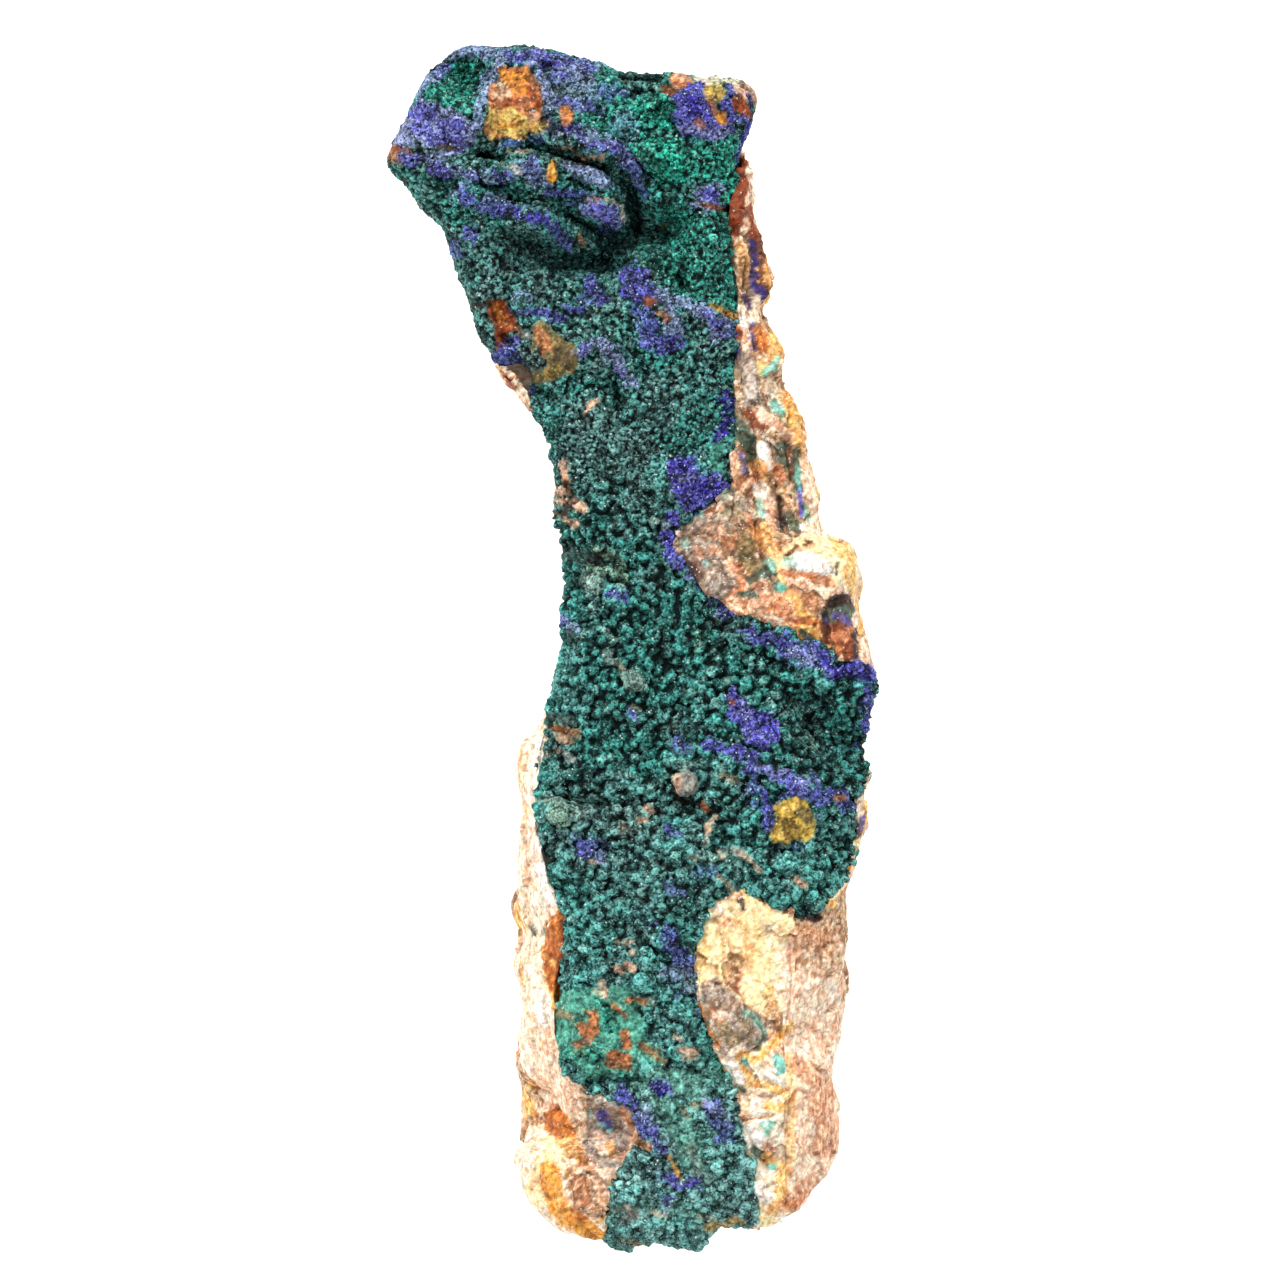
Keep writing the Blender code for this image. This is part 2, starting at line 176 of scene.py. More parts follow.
def reach(pixels, half_width, path):
    """How far inside a streak along the path's corners each place is, in photograph pixels. Where the last
    corner is the first, the streak is filled."""
    corners = np.array(path, float).reshape(-1, 2)
    gap, inside = np.full(len(pixels), np.inf), np.zeros(len(pixels), bool)
    for start, end in zip(corners[:-1], corners[1:]):
        side = end - start
        share = np.clip((pixels - start) @ side / max(side @ side, 1e-9), 0, 1)
        gap = np.minimum(gap, np.linalg.norm(pixels - start - share[:, None] * side, axis=1))
        rising = (start[1] > pixels[:, 1]) != (end[1] > pixels[:, 1])
        inside ^= rising & (pixels[:, 0] < side[0] * (pixels[:, 1] - start[1]) / (side[1] or 1e-9) + start[0])
    filled = len(corners) > 3 and (corners[0] == corners[-1]).all()
    return half_width + np.where(inside & filled, gap, -gap)


def painted(pixels, drift, fray, base, tones, streaks, soft=1.8):
    """Lays streaks over the base, in turn: mostly mineral, and a few of painted shade in hollows and crevices.
    A streak is a tone, its strength, its half-width and its corners. It drifts, and its edge frays, but less
    where the tone's last number is higher. A tone's first three numbers are its colour."""
    coat = base.copy()
    for tone, strength, half_width, *path in streaks:
        corners = np.array(path, float).reshape(-1, 2)
        margin = half_width + soft + MOST_DRIFT
        low, high = corners.min(0) - margin, corners.max(0) + margin
        near = np.flatnonzero(((pixels > low) & (pixels < high)).all(1))
        loose = 1 - 0.7 * tones[tone][-1]
        depth = reach(pixels[near] + drift[near] * loose, half_width, path) + fray[near] * loose
        coat[near] += (strength * ease(-soft, soft, depth))[:, None] * (np.array(tones[tone]) - coat[near])
    return coat


def daylight(paint):
    """Paint chart colours, from 0 to 255, in the light that the shader works in."""
    return ((np.clip(paint, 0, 255) / 255 + 0.055) / 1.055) ** 2.4


def stain(piece, name, values):
    """Keeps numbers or colours on the piece's vertices for its material to read."""
    if values.ndim == 1:
        layer = piece.data.attributes.new(name, "FLOAT", "POINT")
        layer.data.foreach_set("value", np.clip(values, 0, 1))
    else:
        layer = piece.data.attributes.new(name, "FLOAT_COLOR", "POINT")
        layer.data.foreach_set("color", np.column_stack([values, np.ones(len(values))]).ravel())


SMOOTHINGS = 4, 2, 1
SCRAMBLE_WAY, SCRAMBLE = (12.9898, 78.233, 37.719), 43758.5453
MOST_DRIFT = 9
ROCK_NET, ROCK_STEEPS = 0.8, (-0.6, 0.05)
ROCK_CUTS = 640, 940
PULL_REACH = 20
BOSS, BOSS_RADIUS = (712, 566), 11
# Where the broken outline, or the crust's edge inside it, steps in or out: a place and its step, in photograph
# pixels.
PULLS = [
    (520, 48, 0, -5), (548, 53, 0, -5), (590, 64, 0, -5), (720, 78, 0, -4), (745, 87, 5, -5),
    (754, 132, -5, 0), (749, 178, 6, 0), (757, 212, -10, 0), (762, 240, -6, 0), (768, 279, 6, 0),
    (771, 308, -11, 0), (773, 337, 8, 0), (778, 362, 8, 0), (787, 388, -9, 4), (808, 450, -3, 0),
    (834, 526, -7, 8), (865, 650, 5, 0), (872, 685, 5, 0), (863, 745, 6, -6), (864, 769, 8, 0),
    (860, 830, 3, 0), (850, 905, -4, 0), (842, 975, 6, 0), (843, 1046, -7, -4), (831, 1074, 3, 0),
    (834, 1140, 4, 0), (822, 1168, 7, 4), (788, 1205, 6, 10), (766, 1217, 2, 6), (745, 1223, 0, 8),
    (720, 1232, 0, -4), (656, 1251, 0, -6), (620, 1244, 0, 5), (561, 1223, -4, 8), (541, 1208, -4, 3),
    (523, 1155, -9, 0), (520, 976, -5, 0), (511, 941, 9, 0), (513, 908, -4, 0), (515, 842, 5, 0),
    (513, 818, 9, 0), (513, 790, 6, 0), (516, 758, 5, 0), (531, 726, 8, 0), (556, 654, 4, 0),
    (541, 451, 7, -2), (529, 428, 5, -3), (512, 400, 5, -5), (490, 364, 4, -2), (430, 229, 9, -5),
    (400, 187, 3, -2), (421, 101, -7, 0), (431, 76, -4, -3), (683, 543, -7, 0), (708, 912, 0, -9),
    (730, 902, 0, -8), (755, 896, 0, -6),
]
# Where the rock alone closes up to the crust.
ROCK_PULLS = [
    (740, 190, -10, 0), (740, 215, -13, 0), (740, 240, -10, 0), (740, 265, -10, 0), (741, 290, -6, 0),
    (742, 320, -8, 0), (742, 350, -11, 0), (742, 378, -9, 0), (749, 174, -2, -26), (754, 190, 4, 0),
    (563, 915, 6, 0), (561, 960, 6, 0),
]
# Lumps and clefts in the rock: height in millimetres, half-width and corners in photograph pixels.
ROCK_FOLDS = [
    (0.8, 7, 742, 172, 741, 190, 737, 216), (0.8, 5, 752, 212, 758, 236, 764, 262, 766, 292),
    (-1.1, 2, 746, 232, 749, 262, 752, 300), (0.7, 7, 741, 240, 742, 262),
    (0.9, 7, 788, 394, 797, 416, 800, 440), (0.7, 6, 764, 372, 776, 362), (-1.0, 2, 756, 322, 758, 352),
    (0.6, 5, 742, 322, 740, 336), (-1.1, 2, 780, 498, 783, 512, 786, 528), (-0.9, 2, 744, 630, 770, 634),
    (-0.9, 4, 832, 604, 847, 600), (0.7, 6, 762, 446, 768, 470), (-0.9, 2, 752, 440, 756, 470, 764, 490),
    (0.8, 9, 740, 456, 738, 470), (-0.8, 2, 790, 436, 794, 478), (-1.4, 3, 796, 908, 812, 902, 820, 918),
    (1.0, 18, 589, 1194, 592, 1198), (0.5, 9, 712, 994, 740, 1020, 756, 1036),
    (-0.7, 2, 700, 1052, 730, 1062, 762, 1050), (-0.35, 2, 688, 538, 700, 531, 712, 533),
    (0.6, 12, 706, 572, 718, 586), (-0.6, 2, 786, 552, 800, 547, 814, 542), (0.6, 9, 800, 562, 824, 566),
    (0.5, 12, 726, 534, 742, 544), (-0.7, 2, 758, 520, 764, 560, 776, 590), (0.8, 9, 840, 636, 846, 650),
    (-0.8, 3, 824, 612, 830, 660), (0.6, 6, 736, 1066, 742, 1082), (0.6, 6, 770, 1074, 780, 1080),
    (0.7, 6, 754, 1130, 760, 1144), (-0.7, 2, 742, 1092, 770, 1098, 790, 1090),
    (-0.7, 2, 740, 1122, 772, 1116), (0.6, 6, 758, 1188, 766, 1198),
    (-0.35, 2, 786, 934, 797, 975, 786, 1040), (-0.3, 2, 795, 1080, 788, 1150, 793, 1196),
    (0.6, 5, 556, 925, 562, 950), (0.6, 6, 548, 1120, 566, 1132),
]
# Colour from 0 to 255, then how mottled with dirt, which also deepens the painted shade in its creases, and
# how glassy.
ROCK_TONES = {
    "cream": (252, 232, 206, 0.35, 0.1), "gold": (255, 223, 168, 0.25, 0.1),
    "honey": (244, 186, 100, 0.4, 0.2), "ochre": (224, 160, 86, 0.5, 0.1), "amber": (192, 110, 36, 0.5, 0.6),
    "pink": (250, 214, 188, 0.35, 0.1), "flesh": (230, 174, 140, 0.5, 0.1), "tan": (204, 168, 136, 0.6, 0.1),
    "stone": (160, 146, 136, 0.6, 0.6), "white": (246, 239, 230, 0.35, 0.6),
    "dun": (166, 140, 120, 0.85, 0.2), "marigold": (224, 152, 52, 0.35, 0.3), "ink": (50, 42, 116, 0.5, 0.5),
    "copper": (200, 128, 84, 0.5, 0.2), "rust": (138, 62, 28, 0.6, 0.3), "brown": (108, 66, 44, 0.6, 0.2),
    "umber": (60, 44, 42, 0.4, 0.3), "olive": (126, 106, 64, 0.6, 0.2), "bottle": (68, 94, 82, 0.6, 0.3),
    "teal": (96, 190, 178, 0.3, 0.3), "azure": (80, 78, 166, 0.5, 0.5),
}
# Tone, strength, half-width and corners, in photograph pixels. The first ones are the ground for the rest.
ROCK_STREAKS = [
    ("cream", 1, 20, 530, 740, 526, 1000, 530, 1060),
    ("white", 0.9, 9, 541, 748, 537, 840, 545, 880, 552, 900), ("pink", 1, 24, 552, 1040, 556, 1110),
    ("cream", 1, 26, 540, 1150, 538, 1190), ("gold", 0.9, 14, 556, 1150, 548, 1168, 536, 1196),
    ("gold", 1, 34, 720, 930, 762, 925, 762, 985, 735, 970), ("gold", 1, 14, 700, 940, 702, 990),
    ("honey", 0.4, 11, 693, 926, 700, 962), ("honey", 0.3, 9, 742, 918, 752, 930, 756, 960),
    ("cream", 0.5, 6, 770, 930, 780, 960, 776, 1000), ("pink", 1, 34, 815, 960, 818, 1060, 815, 1180),
    ("tan", 0.5, 22, 812, 940, 822, 960), ("cream", 1, 26, 752, 1060, 760, 1130, 762, 1210),
    ("gold", 0.8, 13, 830, 890, 836, 860, 850, 846), ("dun", 1, 40, 700, 540, 740, 580),
    ("stone", 0.4, 26, 692, 540, 716, 556), ("flesh", 0.8, 24, 735, 600, 775, 610),
    ("gold", 0.9, 24, 790, 545, 835, 560), ("dun", 1, 14, 740, 235, 742, 290),
    ("honey", 0.8, 9, 764, 250, 768, 330, 775, 350), ("tan", 1, 10, 758, 310, 760, 350),
    ("dun", 0.7, 30, 758, 420, 775, 520), ("honey", 0.5, 8, 792, 400, 800, 440),
    ("tan", 0.6, 14, 790, 470, 800, 520),
    # The strip beside the wide end.
    ("brown", 1, 7, 752, 210, 756, 230, 762, 252, 766, 272, 766, 300),
    ("rust", 1, 9, 742, 158, 740, 180, 737, 205, 738, 226), ("umber", 0.7, 2, 736, 171, 746, 172),
    ("pink", 1, 2.5, 749, 164, 752, 185, 751, 204, 748, 222, 743, 234), ("rust", 0.9, 5, 752, 206, 757, 236),
    ("tan", 1, 7, 741, 242, 742, 262, 745, 286), ("ochre", 0.6, 6, 741, 246, 743, 270),
    ("olive", 0.5, 4, 742, 258, 743, 268), ("olive", 0.5, 3, 746, 282, 752, 296),
    ("ink", 1, 4, 753, 240, 756, 262, 754, 280, 763, 294), ("ink", 1, 4, 765, 288, 767, 304),
    ("ochre", 0.9, 3, 767, 258, 769, 280), ("ink", 0.8, 3, 745, 294, 751, 306),
    ("cream", 0.9, 5, 758, 298, 756, 314), ("white", 1, 3, 741, 318, 753, 319, 747, 328, 741, 318),
    ("rust", 0.9, 5, 737, 328, 743, 336), ("ink", 0.9, 5, 733, 334, 739, 358),
    ("umber", 0.8, 3, 740, 358, 743, 368), ("pink", 0.9, 4, 749, 326, 745, 360),
    ("stone", 1, 9, 747, 360, 753, 402), ("white", 0.7, 5, 750, 366, 752, 392),
    ("umber", 0.8, 1.5, 741, 338, 741, 360), ("azure", 0.8, 3, 754, 324, 756, 346),
    ("amber", 0.9, 6, 760, 328, 764, 346), ("honey", 0.8, 4, 772, 335, 774, 350),
    ("teal", 0.8, 3, 763, 372, 772, 367, 777, 358), ("cream", 0.8, 7, 768, 385, 780, 398),
    ("ochre", 0.9, 7, 787, 394, 797, 416), ("teal", 0.8, 5, 775, 404, 782, 412),
    ("ochre", 0.9, 5, 801, 424, 799, 452), ("rust", 0.8, 6, 748, 412, 764, 424),
    ("bottle", 0.9, 9, 736, 424, 748, 440), ("pink", 0.9, 5, 758, 408, 774, 424, 790, 434),
    ("azure", 0.7, 3, 740, 452, 746, 470), ("bottle", 0.8, 7, 750, 442, 752, 458),
    ("white", 1, 7, 762, 446, 768, 464), ("ochre", 0.8, 6, 757, 464, 762, 470),
    ("bottle", 0.8, 7, 782, 446, 784, 466), ("brown", 0.8, 3, 790, 436, 793, 480),
    ("copper", 0.9, 6, 778, 470, 780, 480), ("bottle", 0.8, 4, 798, 446, 799, 490),
    ("azure", 0.9, 3, 800, 488, 802, 512), ("teal", 0.7, 3, 799, 470, 800, 486),
    ("teal", 0.6, 4, 808, 505, 810, 520), ("pink", 0.9, 5, 806, 460, 813, 500, 816, 520),
    ("white", 0.8, 8, 760, 486, 770, 500), ("teal", 0.6, 4, 760, 504, 763, 512),
    ("copper", 0.8, 6, 735, 478, 748, 480, 756, 476), ("rust", 0.6, 5, 744, 516, 752, 524),
    ("umber", 0.7, 4, 779, 515, 783, 526), ("bottle", 0.8, 7, 790, 520, 797, 526),
    ("cream", 0.9, 6, 806, 526, 826, 532), ("flesh", 0.7, 7, 732, 460, 734, 478),
    # The rounded boss at the neck.
    ("stone", 0.9, 13, 693, 514, 712, 502), ("bottle", 0.8, 9, 727, 490, 734, 508),
    ("olive", 0.7, 9, 730, 508, 738, 520), ("brown", 0.7, 8, 690, 530, 700, 538),
    ("copper", 0.7, 9, 714, 528, 732, 540), ("umber", 0.7, 3, 692, 532, 704, 524, 714, 522),
    ("rust", 0.8, 4, 738, 520, 744, 526), ("stone", 1, 16, 704, 564, 722, 584),
    ("stone", 0.9, 10, 688, 544, 712, 552), ("stone", 0.5, 20, 690, 520, 730, 512),
    ("flesh", 0.8, 5, 712, 548, 728, 556, 734, 572), ("flesh", 0.7, 4, 700, 512, 720, 508),
    ("copper", 0.6, 4, 698, 548, 704, 552), ("pink", 0.7, 3, 734, 500, 744, 490, 750, 478),
    ("olive", 0.6, 5, 742, 530, 752, 545), ("ochre", 0.7, 5, 752, 528, 760, 545),
    ("umber", 0.9, 2, 778, 500, 782, 514, 785, 526), ("white", 0.8, 4, 758, 488, 766, 512),
    ("teal", 0.6, 3, 760, 500, 764, 512), ("flesh", 0.7, 4, 770, 500, 774, 530),
    ("brown", 0.6, 3, 772, 486, 776, 500), ("copper", 0.7, 4, 740, 560, 742, 584, 728, 600),
    ("umber", 0.9, 5, 682, 556, 690, 566, 696, 577), ("brown", 0.5, 4, 696, 560, 700, 572),
    ("teal", 0.6, 3, 706, 560, 708, 564), ("bottle", 0.7, 3, 740, 552, 746, 560),
    ("teal", 0.7, 4, 694, 512, 698, 512), ("teal", 0.5, 4, 682, 542, 686, 544),
    ("olive", 0.8, 9, 744, 546, 756, 572), ("bottle", 0.8, 6, 752, 578, 772, 570),
    ("bottle", 0.9, 6, 742, 598, 752, 594), ("teal", 1, 5, 780, 587, 784, 588),
    ("teal", 0.7, 4, 768, 562, 774, 566), ("ochre", 0.8, 9, 764, 530, 772, 548),
    ("white", 1, 3, 787, 560, 800, 553, 815, 556, 828, 563, 836, 572, 824, 574, 805, 569, 790, 571, 787, 560),
    ("teal", 0.5, 5, 788, 556, 792, 570), ("brown", 0.9, 2, 786, 552, 800, 547, 814, 542),
    ("copper", 0.9, 4, 788, 573, 812, 574, 830, 582), ("bottle", 0.8, 1.5, 843, 552, 838, 564, 836, 574),
    ("honey", 0.8, 6, 838, 545, 852, 560, 854, 590), ("copper", 0.6, 9, 800, 590, 812, 602),
    ("flesh", 0.9, 10, 735, 606, 760, 612), ("copper", 0.7, 6, 776, 608, 788, 616),
    ("honey", 0.8, 7, 795, 600, 800, 610), ("rust", 0.9, 12, 834, 620, 846, 650),
    ("umber", 1, 5, 834, 600, 841, 596, 848, 603), ("umber", 0.9, 4, 828, 608, 838, 606, 852, 607),
    ("bottle", 0.9, 8, 830, 616, 848, 613), ("azure", 0.8, 5, 838, 616, 848, 622),
    ("rust", 1, 9, 832, 638, 848, 640), ("brown", 0.8, 4, 824, 626, 828, 646),
    ("umber", 0.9, 3, 855, 630, 856, 655), ("azure", 0.5, 3, 824, 618, 828, 624),
    ("copper", 0.9, 6, 834, 638, 846, 634), ("ochre", 0.7, 3, 828, 648, 838, 650),
    ("brown", 0.9, 4, 832, 658, 850, 662), ("cream", 0.8, 3, 843, 658, 840, 668),
    ("azure", 0.8, 3, 855, 660, 860, 662), ("pink", 1, 4, 864, 640, 868, 664),
    ("umber", 0.9, 6, 744, 628, 758, 632), ("honey", 0.9, 5, 770, 632, 782, 640, 800, 642),
    ("bottle", 0.9, 3, 802, 632, 816, 638), ("honey", 0.9, 6, 796, 642, 806, 646),
    ("rust", 0.7, 5, 800, 620, 815, 622), ("white", 0.8, 2, 716, 598, 726, 608),
    ("white", 0.6, 3, 766, 618, 782, 620),
    # The edge below the azurite seam.
    ("azure", 0.8, 4, 866, 690, 864, 735), ("umber", 1, 4, 853, 764, 852, 800),
    ("umber", 0.9, 4, 862, 765, 864, 780), ("pink", 0.9, 4, 860, 745, 862, 760, 860, 800),
    ("cream", 1, 7, 856, 805, 858, 815), ("umber", 1, 8, 846, 824, 854, 832),
    ("azure", 0.8, 3, 864, 820, 862, 830), ("umber", 1, 4, 815, 884, 812, 896),
    # The two umber patches that follow, in the crevices under the crust's lower edge, are painted shade.
    ("umber", 1, 3, 796, 906, 812, 900, 820, 920, 800, 916, 796, 906), ("umber", 1, 3, 738, 896, 742, 908),
    ("brown", 0.8, 5, 765, 896, 790, 912), ("tan", 0.8, 6, 715, 900, 735, 894),
    # The gold face and the quartz in it.
    ("white", 0.9, 4, 719, 908, 723, 912), ("teal", 0.5, 3, 705, 916, 708, 918),
    ("flesh", 0.6, 6, 722, 920, 728, 922), ("tan", 0.8, 7, 732, 958, 738, 975, 734, 992),
    ("olive", 0.6, 4, 730, 956, 742, 962), ("rust", 0.6, 1.5, 726, 976, 728, 986),
    ("rust", 0.6, 1.5, 738, 980, 736, 992), ("rust", 0.6, 1.5, 698, 957, 706, 957),
    ("stone", 0.9, 3, 703, 986, 716, 980, 732, 998, 752, 1012, 766, 1024, 766, 1040, 752, 1050, 738, 1044,
     722, 1052, 706, 1036, 697, 1014, 703, 986),
    ("amber", 0.7, 5, 698, 1010, 706, 1028, 716, 1044), ("copper", 0.7, 5, 714, 1012, 724, 1018),
    ("olive", 0.5, 5, 744, 1024, 750, 1040), ("olive", 0.6, 7, 724, 1030, 734, 1042),
    ("teal", 0.7, 3, 745, 1012, 756, 1022, 766, 1034), ("white", 0.6, 4, 716, 1014, 724, 1016),
    ("bottle", 0.6, 5, 758, 1046, 764, 1038), ("brown", 0.5, 3, 775, 1008, 780, 1030),
    ("ochre", 0.6, 5, 768, 990, 772, 1004),
    # The broken strip at the foot.
    ("honey", 1, 4, 790, 1028, 772, 1046, 754, 1062, 742, 1056),
    ("honey", 1, 3, 738, 1060, 742, 1072, 750, 1074), ("teal", 1, 3, 745, 1063, 747, 1066),
    ("white", 0.9, 7, 730, 1062, 738, 1082), ("white", 0.9, 6, 766, 1078, 776, 1068, 784, 1084),
    ("teal", 1, 4, 778, 1058, 781, 1070), ("honey", 0.9, 5, 752, 1084, 770, 1086, 782, 1094),
    ("bottle", 0.8, 3, 738, 1088, 744, 1092), ("white", 0.8, 6, 756, 1104, 762, 1114),
    ("honey", 0.9, 4, 766, 1108, 784, 1110), ("flesh", 0.8, 8, 734, 1100, 742, 1116),
    ("teal", 0.8, 3, 762, 1126, 772, 1124, 764, 1138), ("white", 0.9, 9, 750, 1134, 760, 1146),
    ("white", 0.7, 7, 742, 1156, 748, 1168), ("bottle", 0.9, 5, 754, 1150, 764, 1158),
    ("rust", 0.6, 4, 766, 1148, 772, 1152), ("honey", 0.9, 5, 768, 1158, 772, 1166),
    ("teal", 0.9, 3, 768, 1168, 774, 1168), ("white", 0.9, 7, 760, 1188, 766, 1200),
    ("honey", 0.8, 6, 782, 1170, 784, 1200, 772, 1212), ("gold", 0.9, 8, 748, 1216, 768, 1222),
    ("honey", 0.7, 4, 745, 1180, 750, 1215), ("teal", 0.5, 4, 738, 1128, 740, 1136),
    # The flank beyond it.
    ("tan", 0.6, 12, 826, 940, 836, 975), ("copper", 0.35, 12, 800, 935, 830, 945),
    ("white", 0.6, 5, 832, 985, 834, 1000), ("white", 0.5, 5, 815, 1012, 822, 1014),
    ("copper", 0.4, 10, 800, 1066, 815, 1080), ("white", 0.5, 4, 798, 1050, 806, 1052),
    ("copper", 0.45, 14, 820, 1094, 826, 1150), ("white", 0.4, 4, 812, 1122, 814, 1134),
    ("rust", 0.3, 9, 792, 1204, 812, 1186), ("copper", 0.5, 7, 785, 1208, 800, 1200),
    ("copper", 0.4, 3, 838, 1020, 834, 1040), ("honey", 0.5, 5, 790, 1060, 792, 1160),
    # The flank at the left.
    ("ochre", 0.5, 3, 520, 752, 518, 790), ("tan", 0.5, 2, 524, 780, 526, 860, 524, 950),
    ("flesh", 0.5, 2, 531, 830, 528, 900, 530, 960), ("brown", 0.9, 3, 540, 832, 545, 843),
    ("bottle", 0.8, 3, 531, 928, 533, 934), ("bottle", 0.6, 3, 544, 934, 547, 942),
    ("amber", 1, 3, 552, 920, 562, 912, 568, 930, 567, 955, 563, 985, 558, 1002, 551, 990, 546, 975, 543,
     955, 552, 920),
    ("rust", 0.7, 4, 562, 925, 564, 950, 560, 975), ("honey", 0.7, 3, 546, 958, 552, 964),
    ("white", 0.9, 8, 540, 1000, 546, 1024), ("pink", 0.5, 6, 530, 768, 530, 830, 534, 890),
    ("ochre", 0.6, 3, 519, 950, 521, 990), ("brown", 0.4, 2, 517, 960, 518, 985),
    ("flesh", 0.6, 5, 540, 1046, 556, 1052), ("flesh", 0.5, 4, 536, 1085, 542, 1090),
    ("flesh", 0.5, 3, 560, 1062, 574, 1090), ("rust", 0.6, 4, 565, 1068, 575, 1080),
    ("amber", 1, 3, 543, 1120, 556, 1114, 566, 1122, 573, 1139, 558, 1139, 545, 1132, 543, 1120),
    ("rust", 0.5, 3, 540, 1106, 555, 1112), ("white", 0.7, 4, 535, 1112, 533, 1120),
    ("brown", 0.4, 3, 562, 1148, 566, 1150), ("tan", 0.6, 3, 530, 1140, 536, 1160),
    ("ochre", 0.6, 5, 560, 1145, 572, 1150), ("rust", 0.7, 3, 508, 378, 514, 392),
    ("pink", 1, 12, 500, 370, 520, 395), ("rust", 0.8, 3, 504, 372, 512, 388),
    # The foot, with its grey quartz and the knob below.
    ("stone", 1, 4, 590, 1102, 616, 1100, 632, 1106, 638, 1124, 642, 1142, 640, 1156, 616, 1164, 596, 1164,
     586, 1150, 588, 1124, 590, 1102),
    ("pink", 0.7, 8, 600, 1140, 606, 1150), ("copper", 0.7, 5, 622, 1112, 632, 1126),
    ("flesh", 0.8, 6, 634, 1132, 638, 1150), ("white", 0.5, 5, 610, 1102, 618, 1106),
    ("azure", 1, 6, 602, 1116, 606, 1126), ("teal", 0.6, 3, 598, 1126, 610, 1132),
    ("teal", 0.5, 3, 586, 1114, 590, 1118), ("ochre", 0.7, 5, 610, 1150, 612, 1154),
    ("copper", 0.6, 6, 625, 1158, 645, 1150), ("amber", 0.5, 4, 576, 1160, 590, 1172),
    ("marigold", 1, 10, 550, 1172, 553, 1202, 568, 1220, 596, 1238), ("ochre", 0.6, 9, 566, 1146, 576, 1158),
    ("dun", 1, 19, 588, 1190, 596, 1200), ("flesh", 0.5, 14, 590, 1192, 598, 1202),
    ("copper", 0.6, 9, 578, 1184, 582, 1200), ("flesh", 0.7, 8, 602, 1188, 608, 1200),
    ("brown", 0.5, 2, 564, 1178, 572, 1168, 592, 1164), ("amber", 0.5, 4, 572, 1210, 584, 1222),
    ("cream", 0.8, 3, 556, 1164, 572, 1162), ("ochre", 0.7, 5, 560, 1200, 574, 1216),
    ("copper", 0.8, 6, 620, 1238, 640, 1244), ("amber", 0.7, 4, 740, 1220, 736, 1228),
    ("rust", 0.9, 4, 440, 224, 450, 242),
]

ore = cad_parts[CRUST].data
corners = [v.co / MM for v in ore.vertices]
ore_above = bvhtree.BVHTree.FromPolygons(corners, [p.vertices for p in ore.polygons])
rock = netted("host_rock_broken", ROCK, ROCK_NET, ROCK_STEEPS, ore_above)
places, facing = pulled(rock, PULLS + ROCK_PULLS)
pixels = photo_pixels(places)
across, down, up = pixels[:, 0], pixels[:, 1], places[:, 2]
# The face that it rests on stays level.
resting = ease(1.5, 0.2, up) * ease(-0.6, -0.95, facing[:, 2])
# The streaks lie on the front, and stray from their places down the sides.
front = np.maximum(ease(24.0, 31.0, up), ease(0.3, 0.6, facing[:, 2]) * ease(14.0, 24.0, up))
astray = 3.5 + 9.0 * ease(0.5, 0.2, facing[:, 2]) * ease(36.0, 26.0, up)
# The flanks at the lower right and left are fibrous, and the strip beside the wide end is craggy.
right_flank = ease(776, 800, across) * ease(905, 950, down)
left_flank = ease(566, 552, across) * ease(720, 760, down)
stringy = np.maximum(right_flank, left_flank)
strings = rough(places * (1, 0.1, 0.4), 0.9)
chips = broken(places + 9.0, 2.4)
craggy = ease(730, 744, across) * ease(540, 510, down)
relief = 0.4 * broken(places, 5.0) + 0.14 * chips + 0.28 * rough(places, 2.6) + 0.15 * strings * stringy + 0.2
relief *= 0.6 + 0.4 * ease(0.2, 0.7, np.abs(facing[:, 2]))
relief += 0.4 * craggy * rough(places + 27.0, 2.0, 4)
relief += 1.3 * risen(pixels, 2.8, ROCK_FOLDS) * ease(0.0, 0.5, facing[:, 2])
places, facing = moved(rock, places + facing * (relief * (1 - resting))[:, None])
grit = 0.14 * broken(places + 4.0, 0.9) + 0.07 * rough(places, 0.6, 2)
places, facing = moved(rock, places + facing * (grit * (1 - resting))[:, None])
# Above 0 in creases and below 0 on ridges. It sets the painted shade in the creases and the painted highlight
# on the ridges.
level = np.column_stack([averaged(rock, axis, 6) for axis in places.T])
hollow = ((level - places) * facing).sum(1)
hollow /= hollow.std()

pixels = photo_pixels(places)
bands = rough(places + 40.0, 7.0)
ground = np.where(bands[:, None] > 0, ROCK_TONES["tan"], ROCK_TONES["pink"]).astype(float)
ground += ease(0.1, 0.35, rough(places + 80.0, 4.0))[:, None] * (np.array(ROCK_TONES["honey"]) - ground)
wander = np.stack([rough(places + 31.0, 2.2), rough(places + 57.0, 2.2)], 1) * astray[:, None]
fray = 3.0 * rough(places + 23.0, 0.8)
ground = painted(pixels, wander, fray - 60 * (1 - front), ground, ROCK_TONES, ROCK_STREAKS, 1.2)
tone, dirt, glassy = ground[:, :3], ground[:, 3], ground[:, 4]
bright = ease(60, 190, tone.mean(1)) * (1 - 0.5 * glassy)
along = places * np.where(stringy[:, None] > 0.5, (1.0, 0.5, 0.6), (0.8, 0.8, 0.8))
# The veins of the boss curl round its middle.
from_boss = (pixels - BOSS) * PIXEL
radius = np.linalg.norm(from_boss, axis=1)
swirl = np.column_stack([radius, from_boss / np.maximum(radius, 0.1)[:, None] * 1.5])
curled = np.where((radius < BOSS_RADIUS)[:, None], swirl, along)
veins, stains = rough(curled + 63.0, 1.5, 4), rough(curled + 93.0, 2.0, 4)
cracks = ease(0.05, 0.0, np.abs(rough(places + 73.0, 2.4, 4))) * ease(0.3, 0.7, dirt)
lighter, warmer, cooler = (rough(along * 1.7 + shift, 0.8) for shift in (103.0, 113.0, 123.0))
